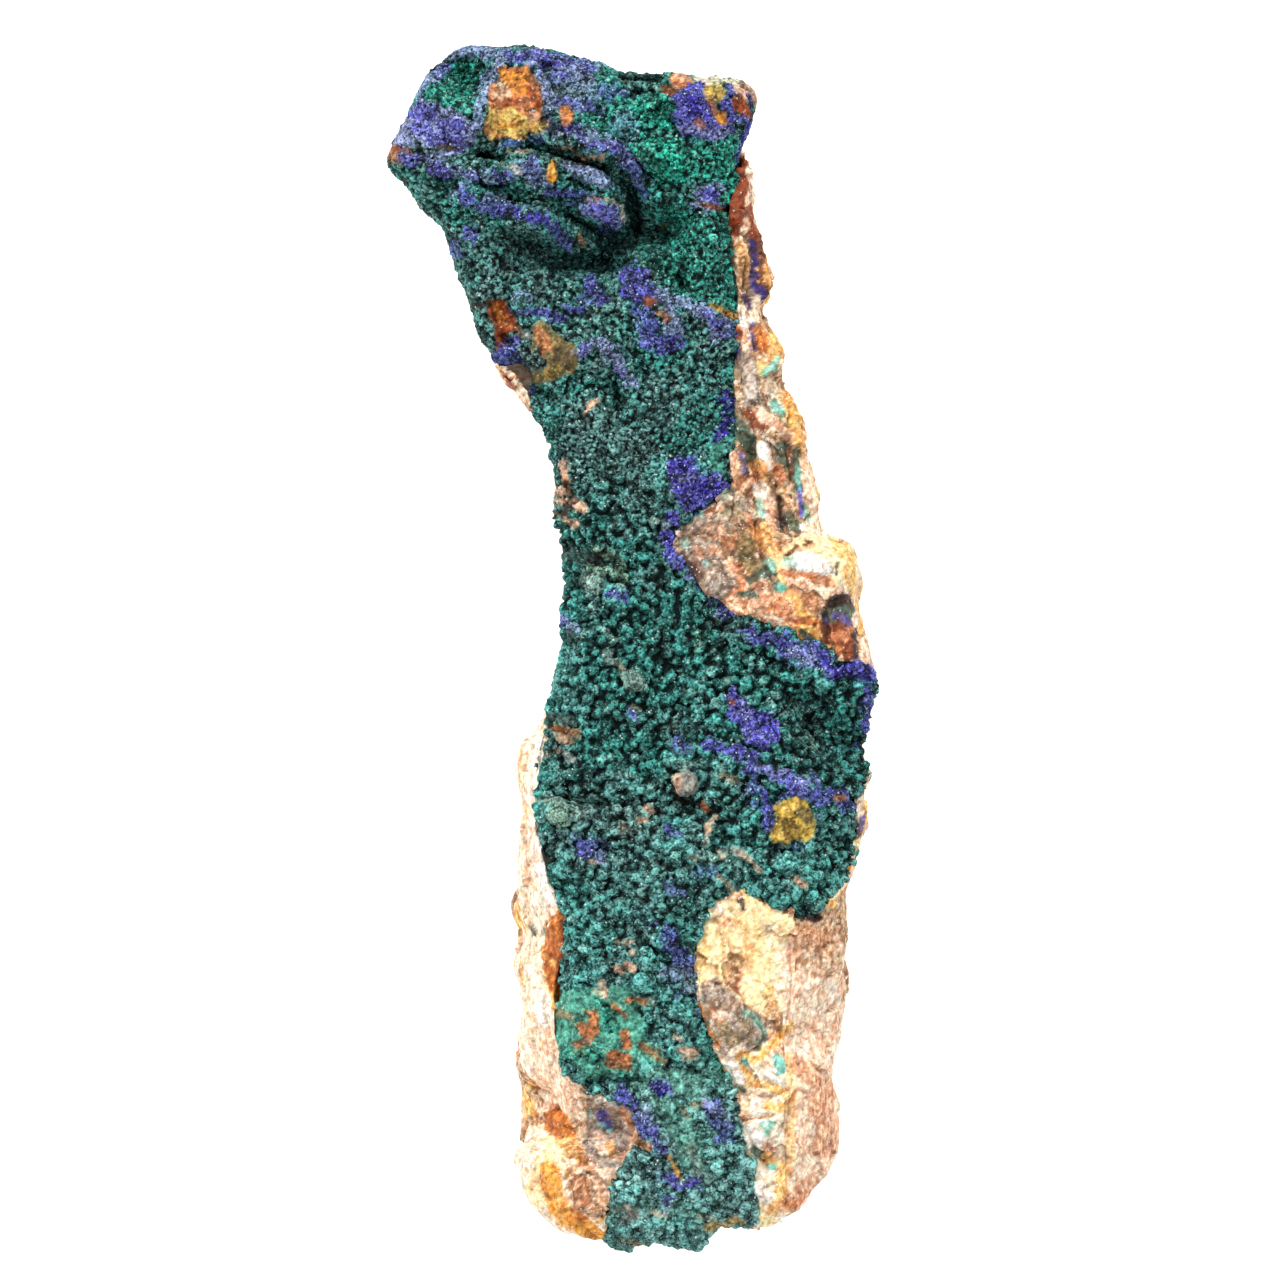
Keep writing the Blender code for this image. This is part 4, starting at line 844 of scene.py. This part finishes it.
     842, 773, 841, 772, 832, 779, 822, 776, 808),
    ("olive", 0.9, 6, 802, 812, 808, 818), ("umber", 0.5, 2.5, 780, 818, 792, 822, 796, 828),
    ("gold", 0.6, 4, 776, 832, 784, 836), ("gold", 0.5, 4, 788, 808, 796, 806),
    ("umber", 0.45, 3, 784, 830, 792, 840), ("rust", 0.9, 4, 702, 806, 707, 810),
    ("copper", 0.6, 3, 704, 826, 710, 830), ("flesh", 0.8, 2.5, 718, 816, 708, 826, 706, 842),
    ("flesh", 0.7, 3, 718, 852, 724, 858), ("flesh", 0.8, 3, 738, 852, 752, 862, 760, 872),
    ("flesh", 0.7, 3, 718, 876, 728, 884, 742, 892), ("pale", 0.7, 4, 700, 856, 712, 862),
    ("flesh", 0.7, 3, 690, 858, 696, 860), ("stone", 0.6, 4, 728, 850, 742, 852),
    ("flesh", 0.9, 4, 796, 880, 804, 886), ("pale", 0.5, 5, 730, 866, 742, 872),
    ("copper", 0.5, 4, 724, 776, 736, 780), ("pale", 0.5, 4, 800, 740, 812, 746),
    ("azurite", 0.4, 6, 696, 868, 712, 872), ("greyed", 0.6, 8, 690, 830, 700, 850),
    # Down the left: pale balls and brown flecks.
    ("copper", 0.8, 5, 560, 730, 576, 734), ("rust", 0.5, 3, 556, 728, 572, 742),
    ("flesh", 0.8, 3, 560, 740, 570, 742), ("stone", 0.7, 4, 562, 752, 572, 760),
    ("umber", 0.6, 4, 556, 718, 574, 722), ("copper", 0.5, 2.5, 545, 756, 556, 750),
    ("pale", 0.8, 7, 556, 806, 560, 818), ("moss", 0.6, 6, 554, 814, 562, 820),
    ("pale", 0.7, 6, 570, 812, 590, 812), ("greyed", 0.7, 6, 590, 812, 626, 812),
    ("teal", 0.7, 4, 542, 806, 548, 812), ("cream", 0.6, 2.5, 544, 802, 554, 800),
    ("pale", 0.85, 5, 630, 828, 634, 830), ("pale", 0.7, 4, 618, 834, 624, 834),
    ("flesh", 0.9, 3.5, 646, 808, 652, 812), ("flesh", 0.9, 3, 638, 820, 646, 820),
    ("flesh", 0.7, 2, 622, 824, 624, 826), ("stone", 0.9, 8, 684, 780, 688, 786),
    ("flesh", 0.9, 3, 676, 778, 678, 792), ("pale", 0.7, 4, 682, 766, 690, 770),
    ("umber", 0.6, 5, 678, 798, 690, 802), ("azurite", 0.75, 6, 678, 744, 684, 750),
    ("teal", 0.6, 7, 676, 756, 684, 758), ("azurite", 0.85, 5, 668, 830, 674, 834),
    ("teal", 0.8, 4, 668, 820, 682, 822), ("azurite", 0.8, 5, 580, 846, 588, 858),
    ("azurite", 0.5, 5, 590, 844, 600, 846), ("flesh", 0.8, 2.5, 590, 862, 598, 862),
    ("lavender", 0.5, 4, 600, 858, 604, 862), ("teal", 1, 7, 562, 868, 566, 872),
    ("azurite", 0.6, 5, 668, 886, 682, 892), ("azurite", 0.3, 12, 580, 844, 600, 850),
    ("teal", 0.5, 8, 626, 906, 650, 920), ("teal", 0.5, 6, 628, 960, 650, 958),
    ("azurite", 0.8, 3, 650, 924, 656, 926), ("azurite", 0.8, 8, 672, 934, 676, 950, 682, 966),
    ("lavender", 0.7, 7, 668, 972, 684, 974, 690, 986), ("azurite", 0.5, 5, 676, 990, 690, 994),
    ("lavender", 0.6, 2.5, 694, 1000, 698, 1024),
    # The foot.
    ("flesh", 0.9, 4, 618, 970, 622, 972), ("flesh", 0.95, 4, 628, 966, 632, 968),
    ("flesh", 0.8, 2.5, 624, 944, 632, 944), ("flesh", 0.8, 2.5, 630, 952, 634, 954),
    ("flesh", 0.7, 2.5, 616, 942, 619, 943), ("teal", 1, 6, 586, 976, 600, 978),
    ("teal", 0.95, 4, 640, 976, 642, 992), ("flesh", 0.8, 4, 602, 982, 606, 996),
    ("cream", 0.7, 2.5, 596, 990, 602, 996), ("copper", 1, 6, 592, 1016, 594, 1030),
    ("copper", 1, 5, 582, 1026, 588, 1038), ("copper", 0.9, 3, 578, 1044, 588, 1043),
    ("copper", 0.7, 2.5, 576, 1052, 584, 1052), ("copper", 0.6, 2, 586, 1012, 600, 1010),
    ("copper", 1, 5, 624, 1034, 628, 1046), ("copper", 1, 6, 612, 1056, 626, 1060),
    ("copper", 0.9, 3, 606, 1064, 630, 1068), ("rust", 0.6, 2, 606, 1064, 616, 1068),
    ("copper", 0.8, 3, 614, 1006, 624, 1016), ("rust", 0.5, 2, 616, 1004, 618, 1012),
    ("copper", 0.9, 3, 628, 1001, 636, 999, 646, 1002), ("copper", 0.7, 2.5, 641, 1044, 650, 1052, 664, 1062),
    ("copper", 0.6, 2, 646, 1042, 660, 1050), ("rust", 0.5, 2, 642, 1046, 648, 1054),
    ("emerald", 0.7, 6, 600, 1006, 606, 1014), ("emerald", 0.7, 4, 604, 1026, 614, 1028),
    ("emerald", 0.5, 8, 572, 1054, 596, 1056), ("umber", 0.8, 3, 639, 1010, 643, 1014),
    ("teal", 0.9, 3, 664, 1042, 672, 1044), ("flesh", 0.8, 3, 674, 1036, 680, 1040),
    ("flesh", 0.9, 4, 680, 1050, 694, 1052), ("flesh", 0.7, 3, 682, 1058, 694, 1058),
    ("copper", 0.6, 4, 566, 1014, 572, 1018), ("stone", 0.6, 3, 584, 1040, 588, 1042),
    ("cream", 0.5, 3, 650, 1000, 654, 1006), ("pale", 0.6, 5, 684, 984, 690, 992),
    ("teal", 0.8, 7, 648, 1036, 664, 1044), ("emerald", 0.8, 4, 614, 1074, 628, 1074),
    ("teal", 0.6, 6, 640, 1070, 650, 1066), ("azurite", 1, 5, 654, 1088, 668, 1092),
    ("indigo", 0.8, 3, 656, 1090, 666, 1094), ("azurite", 0.9, 4, 620, 1095, 632, 1096, 636, 1110, 642, 1122),
    ("azurite", 0.9, 5, 646, 1124, 652, 1136, 660, 1150), ("teal", 0.8, 2.5, 650, 1150, 664, 1164),
    ("lavender", 0.6, 6, 640, 1110, 656, 1120), ("amber", 0.95, 2.5, 668, 1156, 676, 1170, 680, 1178),
    ("copper", 0.9, 5, 640, 1142, 650, 1148), ("azurite", 0.9, 6, 664, 1174, 674, 1180, 682, 1188, 696, 1182),
    ("azurite", 0.7, 5, 658, 1196, 668, 1204), ("azurite", 0.6, 4, 690, 1186, 700, 1192),
    ("copper", 0.6, 4, 694, 1106, 704, 1104), ("copper", 0.5, 4, 684, 1110, 686, 1116),
    ("azurite", 0.8, 7, 712, 1108, 718, 1122, 722, 1138), ("lavender", 0.6, 4, 706, 1104, 728, 1120),
    ("teal", 0.6, 4, 706, 1156, 714, 1160), ("rust", 0.7, 3, 608, 1222, 614, 1226),
    ("stone", 0.7, 6, 620, 1224, 634, 1216), ("copper", 0.6, 4, 622, 1242, 640, 1246),
    ("teal", 0.9, 6, 612, 1226, 622, 1234), ("teal", 0.9, 5, 644, 1230, 652, 1228),
    ("amber", 0.7, 4, 706, 1228, 724, 1226, 740, 1222), ("stone", 0.5, 6, 690, 1150, 698, 1170),
    ("umber", 0.6, 3, 624, 1206, 634, 1214), ("teal", 0.9, 5, 652, 1190, 660, 1196),
    ("teal", 0.8, 5, 628, 1196, 640, 1190), ("teal", 0.8, 6, 668, 1222, 690, 1226),
    ("cream", 0.6, 2.5, 616, 1212, 628, 1208), ("flesh", 0.6, 3, 652, 1212, 664, 1216),
    ("dark", 0.6, 9, 640, 1164, 656, 1176), ("dark", 0.5, 12, 690, 1200, 706, 1206),
    ("pale", 0.6, 4, 706, 1176, 716, 1186), ("copper", 0.4, 4, 700, 1216, 712, 1220),
    ("pale", 0.5, 4, 640, 1232, 652, 1236),
]
# Where the crust alone steps back from the rock's edge.
CRUST_PULLS = [
    (746, 160, -8, 0), (746, 176, -14, 0), (746, 194, -18, 0), (746, 212, -20, 0), (745, 235, -14, 0),
    (745, 262, -15, 0), (745, 290, -9, 0), (745, 320, -13, 0), (745, 350, -17, 0), (744, 378, -14, 0),
    (506, 380, 20, -16), (520, 396, 14, -12), (554, 896, 6, 0), (555, 918, 9, 0), (553, 940, 9, 0),
    (553, 962, 9, 0), (554, 985, 8, 0), (556, 1010, 6, 0), (558, 1032, 4, 0), (870, 752, -8, -4),
    (748, 154, -9, 0), (547, 832, 6, 0), (550, 855, 8, 0), (552, 876, 8, 0),
]
# Thin ledges that stand up: height in millimetres, half-width and corners in photograph pixels.
CRUST_LEDGES = [
    (0.7, 5, 540, 126, 577, 140, 610, 150, 636, 163, 645, 180), (0.6, 6, 528, 162, 560, 168, 600, 182),
    (0.9, 7, 590, 202, 606, 205, 616, 214), (0.6, 5, 464, 195, 500, 206, 545, 220),
    (0.5, 5, 545, 222, 560, 232, 574, 244), (0.5, 6, 434, 166, 470, 172, 512, 173),
    (0.5, 4, 580, 352, 596, 342, 612, 350, 624, 370), (0.4, 6, 500, 62, 486, 84, 480, 120),
    (0.4, 5, 532, 66, 548, 100, 546, 122),
]
# Broad slopes: height in millimetres, half-width and corners in photograph pixels.
CRUST_SLOPES = [
    (0.9, 2, 540, 274, 580, 284, 620, 283, 652, 262), (0.5, 2, 452, 226, 500, 244, 530, 262),
    (-0.5, 4, 600, 196, 632, 210, 640, 232),
]
# Clusters that stand up: x, y and radius in photograph pixels, and height in millimetres.
BALLS = [
    (594, 581, 13, 1.0), (616, 597, 14, 1.0), (634, 679, 11, 1.0), (635, 716, 10, 0.8), (681, 748, 9, 0.7),
    (686, 783, 11, 1.3), (557, 811, 10, 1.1), (632, 829, 6, 0.9), (622, 834, 5, 0.8), (649, 810, 5, 0.9),
    (564, 870, 9, 0.8), (641, 982, 8, 0.8), (522, 300, 11, 0.8), (619, 568, 6, 0.8), (592, 977, 8, 0.8),
    (688, 592, 6, 0.6), (684, 680, 6, 0.6), (606, 816, 6, 0.8), (587, 814, 8, 0.8), (606, 355, 6, 0.5),
]
# Slits and pits in the crust: depth in millimetres, half-width and corners in photograph pixels.
PITS = [
    (3.0, 4.5, 476, 153, 500, 157), (3.2, 2.5, 526, 147, 548, 149, 570, 157, 598, 165),
    (2.6, 5, 594, 162, 604, 170), (2.2, 8, 632, 196, 636, 222), (1.2, 8, 606, 174, 630, 188),
    (2.2, 4, 566, 213, 584, 222, 600, 229), (1.0, 14, 545, 258, 600, 262), (1.0, 8, 500, 230, 536, 244),
    (2.2, 3, 478, 181, 500, 183), (2.0, 3, 507, 198, 531, 205), (2.0, 2.5, 637, 157, 650, 172, 664, 190),
    (1.1, 14, 452, 68, 468, 80), (1.6, 6, 638, 88, 656, 92), (1.4, 6, 664, 108, 672, 118),
    (1.6, 5, 616, 384, 619, 408), (1.6, 6, 680, 276, 684, 284), (1.6, 12, 604, 236, 664, 232),
    (0.8, 22, 812, 712, 838, 745), (1.2, 5, 556, 798, 600, 804), (1.6, 5, 546, 118, 556, 128),
    (1.2, 5, 543, 63, 548, 62), (1.5, 5, 572, 178, 590, 188), (1.2, 4, 574, 198, 600, 196),
    (1.4, 5, 568, 484, 574, 500), (1.2, 8, 570, 545, 600, 562), (1.4, 5, 590, 1078, 640, 1082),
    (1.4, 5, 676, 796, 694, 802), (1.2, 5, 600, 846, 610, 850), (1.3, 5, 750, 846, 800, 852),
    (1.2, 4, 636, 1008, 644, 1014), (1.0, 4, 572, 882, 580, 884), (1.0, 4, 560, 880, 570, 882),
    (1.2, 5, 650, 946, 664, 954), (1.0, 4, 688, 1070, 700, 1074), (1.0, 4, 654, 1114, 664, 1118),
    (1.6, 6, 620, 72, 660, 76), (1.0, 4, 664, 220, 680, 218), (1.4, 7, 536, 386, 548, 392),
    (1.4, 5, 504, 334, 510, 340), (1.0, 5, 690, 843, 706, 850), (1.2, 6, 792, 902, 810, 908),
]

crust = netted("crust_grown", CRUST, CRUST_NET, CRUST_STEEPS)
places, facing = pulled(crust, PULLS + CRUST_PULLS)
pixels = photo_pixels(places)
down = pixels[:, 1]
upwards = ease(-0.2, 0.4, facing[:, 2])
pits = np.zeros(len(places))
for depth, half_width, *path in PITS:
    pits = np.maximum(pits, depth * ease(-2.0, 2.5, reach(pixels, half_width, path)))
swell = 0.3 * rough(places + 11.0, 4.0) * upwards
# The crust's side wall closes up to the rock where the rock is beside it.
outwards = facing * (1, 1, 0) / np.maximum(np.linalg.norm(facing[:, :2], axis=1), 1e-6)[:, None]
wall = ease(0.9, 0.45, facing[:, 2]) * ease(-0.7, -0.3, facing[:, 2])
rim = wall * (0.1 + 0.45 * rough(places + 17.0, 4.5))
for i in np.flatnonzero((wall > 0.02) & (down > RIM_TOP)):
    touch, _, _, gap = rock_skin.find_nearest(places[i], RIM_REACH)
    if touch is not None:
        ahead = (touch - Vector(places[i])).dot(Vector(outwards[i])) / max(gap, 1e-3)
        rim[i] += (gap + 0.25 - rim[i]) * ease(0.4, 0.8, ahead) * ease(2.1, 1.2, gap) * wall[i]
rim = averaged(crust, rim, 8)
swell += (risen(pixels, 2.5, CRUST_LEDGES) + risen(pixels, 12.0, CRUST_SLOPES)) * upwards
places = places + facing * swell[:, None] + outwards * rim[:, None]
places, facing = moved(crust, places - (pits * ease(0.15, 0.5, facing[:, 2]))[:, None] * (0, 0, 1))


def grains(points, facing, size, smallest, largest, step, knobs=0):
    """Packed round grains, dented by the knobs: how far they stand out of the surface, 0 to 1 from the
    creases to their tops, and each one's middle and lot."""
    middles, lots = packed(points, size)
    away = points[:, None] - middles
    level = (away * facing[:, None]).sum(2, keepdims=True)
    across = np.linalg.norm(away - level * facing[:, None], axis=2) + np.reshape(knobs, (-1, 1))
    radius = size * (smallest + (largest - smallest) * lots)
    dome = np.sqrt(np.clip(1 - (across / radius) ** 2, 0, 1))
    height = np.where(across > radius, -step * size, radius * dome + size * step * ((lots * 5.7 % 1) - 1))
    best = np.arange(len(points)), height.argmax(1)
    return height[best], dome[best], middles[best], lots[best]


def chosen(mask, off, on):
    """One set of grains where the mask is 0 and another where it is 1."""
    return [np.where(mask if a.ndim == 1 else mask[:, None], b, a) for a, b in zip(off, on)]


knobs = 0.16 * rough(places + 7.0, 0.55, 2)
large = grains(places, facing, LARGE_GRAIN, 0.38, 0.64, 0.5, knobs)
middling = grains(places, facing, MIDDLING_GRAIN, 0.4, 0.64, 0.45, knobs)
fine = grains(places, facing, FINE_GRAIN, 0.42, 0.68, 0.4)
finer_here = ease(500, 440, down) + 0.5 * rough(places + 5.0, 6.0)
height, top, middles, lots = chosen(finer_here > 0.5, large, middling)
neck = ease(60, 20, np.abs(down - NECK_ROW)) * 0.7 + 0.6 * rough(places + 25.0, 4.0)
height, top, middles, lots = chosen(neck > 0.55, (height, top, middles, lots), fine)
wander = np.stack([rough(places + 31.0, 2.4), rough(places + 57.0, 2.4)], 1) * 4.0
fray = 3.5 * rough(places + 23.0, 0.8) + 5.0 * (lots - 0.5)
drift = ease(-0.1, 0.35, rough(places + 71.0, 6.0))[:, None]
green, greyed = np.array(ORE_TONES["malachite"]), np.array(ORE_TONES["greyed"])
base = green + drift * 0.6 * (greyed - green)
astray = wander + 0.5 * (photo_pixels(middles) - pixels)
ore_coat = painted(pixels, astray, fray, base, ORE_TONES, ORE_STREAKS)
azurite, bare = ore_coat[:, 3], ore_coat[:, 4]

clusters = grains(places + 3.0, facing, CLUSTER, 0.4, 0.6, 0.3)
height += 0.12 * clusters[0] * ease(420, 600, down) + 0.3 * fine[0]
# Painted shade also falls in the creases between the fine grains.
top = top * (0.6 + 0.4 * fine[1])
rocky = 0.4 * broken(places, 2.2) + 0.4 * broken(places + 6.0, 0.9) + 0.1 * rough(places, 0.5) + 0.35
frosted = 0.5 * fine[0] + 0.25 * rough(places, 0.5, 2) + 0.25
height = height * (1 - 0.7 * azurite) + frosted * 0.7 * azurite
height = height * (1 - bare) + rocky * bare
for x, y, radius, rise in BALLS:
    gap = np.linalg.norm(pixels - (x, y), axis=1) / radius
    ball = np.sqrt(np.clip(1 - gap**2, 0, 1))
    height = np.where(ball > 0, np.maximum(height, ball * rise + 0.45 * fine[0]), height)
    # The clusters' domes get painted light.
    top = np.where(ball > 0, np.maximum(top, 0.5 * ball + 0.3 * fine[1]), top)
grown = ease(-0.5, 0.1, facing[:, 2])
crumbs = 0.09 * rough(places + 2.0, 0.36, 2)
places, facing = moved(crust, places + facing * ((height + crumbs) * grown)[:, None])

lots_tone = 0.66 + 0.6 * lots + 0.25 * rough(places + 43.0, 2.2) - 0.08 * ease(70, 30, np.abs(down - 460))
odd = ease(0.84, 0.9, lots * 7.3 % 1) * (1 - azurite) * (1 - bare)
ore_coat[:, :3] += (0.4 * odd)[:, None] * ((142, 168, 158) - ore_coat[:, :3])
rock_tone = 1 + 0.5 * rough(places + 3.0, 0.7) + 0.35 * rough(places + 13.0, 0.35)
blue_tone = 0.95 + 0.5 * rough(places + 13.0, 0.5) + 0.3 * rough(places + 53.0, 1.5)
threads = ease(0.12, 0.0, np.abs(rough(places * (0.6, 1.0, 1.0) + 83.0, 0.9, 2))) * azurite
ore_coat[:, :3] += (0.5 * threads)[:, None] * ((186, 192, 222) - ore_coat[:, :3])
tone = lots_tone * (1 - azurite) + blue_tone * azurite
tone = tone * (1 - bare) + rock_tone * bare
top = top * (1 - azurite) + (0.55 + 0.4 * fine[1]) * azurite
top = top * (1 - bare) + (0.82 + 0.5 * np.minimum(rocky - 0.3, 0)) * bare
# Pale dust lies on the malachite towards the foot.
dusted = 0.35 * ease(790, 850, down) + 0.55 * ease(1040, 1120, down) + 0.3 * rough(places + 15.0, 3.0)
dusted = np.clip(dusted, 0, 1) * ease(760, 820, down) * (1 - azurite) * (1 - bare)
ore_coat[:, :3] += (0.7 * dusted)[:, None] * ((140, 190, 186) - ore_coat[:, :3])
# Painted shade darkens the gaps between the clusters and the slits and pits; the pale dust lifts it.
top = top * (0.6 + 0.4 * ease(0.0, 0.5, clusters[1]))
top = (top + 0.5 * dusted * (1 - top)) * (1 - 0.8 * ease(0.3, 2.6, pits))
stain(crust, "growth", daylight(ore_coat[:, :3] * np.clip(tone, 0.3, 1.3)[:, None]))
stain(crust, "sparkle", daylight(ore_coat[:, :3] * 0.7 + np.array((76, 100, 98))))
# The share kept as top runs from painted shade in the creases to painted light on the grains' tops.
stain(crust, "top", top)
stain(crust, "bare", bare)

growth, shader, wiring = new_material("malachite and azurite", 0.12)
where = wiring.node("TexCoord", {}, {})["Object"]
painted_light, plain = wiring.kept("top"), wiring.kept("bare")
facet, speckle = where.lots(0.3), where.cloud(0.42, 4.0)
# The colour is darkened by painted shade in the creases and pits and kept bright as painted light on the
# grains' tops, broken up by speckle and facets.
lit = painted_light * 0.78 + (speckle - 0.5) * 0.9 + (facet - 0.5) * (0.7 - plain * 0.5) + plain * 0.25
colour = wiring.kept("growth", "Color").darkened(
    lit.ramp((0.05, 0.03), (0.3, 0.12), (0.5, 0.28), (0.75, 0.66), (1.0, 1.0))
)
spark = where.lots(0.2)
shine = spark.between(0.84, 0.96) * painted_light.between(0.2, 0.7) * (1 - plain * 0.7)
colour = (shine * 0.5).mix(colour, wiring.kept("sparkle", "Color"))
colour = (spark.between(0.99, 0.994) * painted_light * 0.6).mix(colour, (0.85, 0.92, 0.92))
bump = wiring.node("Bump", {}, {"Strength": 0.9, "Distance": 0.16 * MM, "Height": speckle + facet * 0.5})
dressed(shader, Base_Color=colour, Roughness=0.75 - shine * 0.4, Normal=bump)
finished(crust, growth, CRUST, CRUST_CUTS, ("crust_wide_end", "crust_middle", "crust_foot"))


# The floor that it lies on, the studio's soft light, and the camera that looks straight down on the crust.
FLOOR_REACH = 1.2
CAMERA_HEIGHT, FRAME_WIDTH = 1.4, 1280 * PIXEL * MM
PHOTO_MIDDLE = 640
PAPER_GLOW, SKY_LIGHT = 0.45, 0.66

shape = bmesh.new()
bmesh.ops.create_grid(shape, x_segments=2, y_segments=2, size=FLOOR_REACH)
floor_mesh = bpy.data.meshes.new("floor")
shape.to_mesh(floor_mesh)
shape.free()
floor = bpy.data.objects.new("floor", floor_mesh)
bpy.context.scene.collection.objects.link(floor)
paper, shader, wiring = new_material("white paper", 0.2)
shader.inputs["Base Color"].default_value = (0.95, 0.95, 0.95, 1)
shader.inputs["Roughness"].default_value = 0.9
shader.inputs["Emission Color"].default_value = (1.0, 1.0, 1.0, 1)
shader.inputs["Emission Strength"].default_value = PAPER_GLOW
floor_mesh.materials.append(paper)

world = bpy.data.worlds.new("studio")
world.use_nodes = True
world.node_tree.nodes["Background"].inputs["Color"].default_value = (1.0, 1.0, 1.0, 1)
world.node_tree.nodes["Background"].inputs["Strength"].default_value = SKY_LIGHT
bpy.context.scene.world = world

for name, place, size, power in (
    ("key", (-0.2, 0.85, 0.7), 0.5, 10.0),
    ("fill", (0.7, -0.1, 0.7), 0.8, 1.7),
    ("left fill", (-0.7, -0.3, 0.5), 0.8, 2.0),
    ("overhead", (-0.3, 0.1, 1.3), 0.9, 4.0),
):
    light = bpy.data.lights.new(name, "AREA")
    light.size, light.energy = size, power
    lamp = bpy.data.objects.new(name, light)
    lamp.location = place
    lamp.rotation_euler = (Vector((0, 0, 0.03)) - Vector(place)).to_track_quat("-Z", "Y").to_euler()
    bpy.context.scene.collection.objects.link(lamp)

camera = bpy.data.cameras.new("camera")
camera.sensor_width = 36.0
camera.lens = 36.0 * (CAMERA_HEIGHT - crust_high.z) / FRAME_WIDTH
camera.clip_end = 10.0
viewer = bpy.data.objects.new("camera", camera)
middle = (crust_low + crust_high) / 2
viewer.location = (
    middle.x + (PHOTO_MIDDLE - (PHOTO_LEFT + PHOTO_RIGHT) / 2) * PIXEL * MM,
    middle.y - (PHOTO_MIDDLE - (PHOTO_TOP + PHOTO_FOOT) / 2) * PIXEL * MM,
    CAMERA_HEIGHT,
)
bpy.context.scene.collection.objects.link(viewer)
bpy.context.scene.camera = viewer
bpy.context.scene.view_settings.view_transform = "Standard"
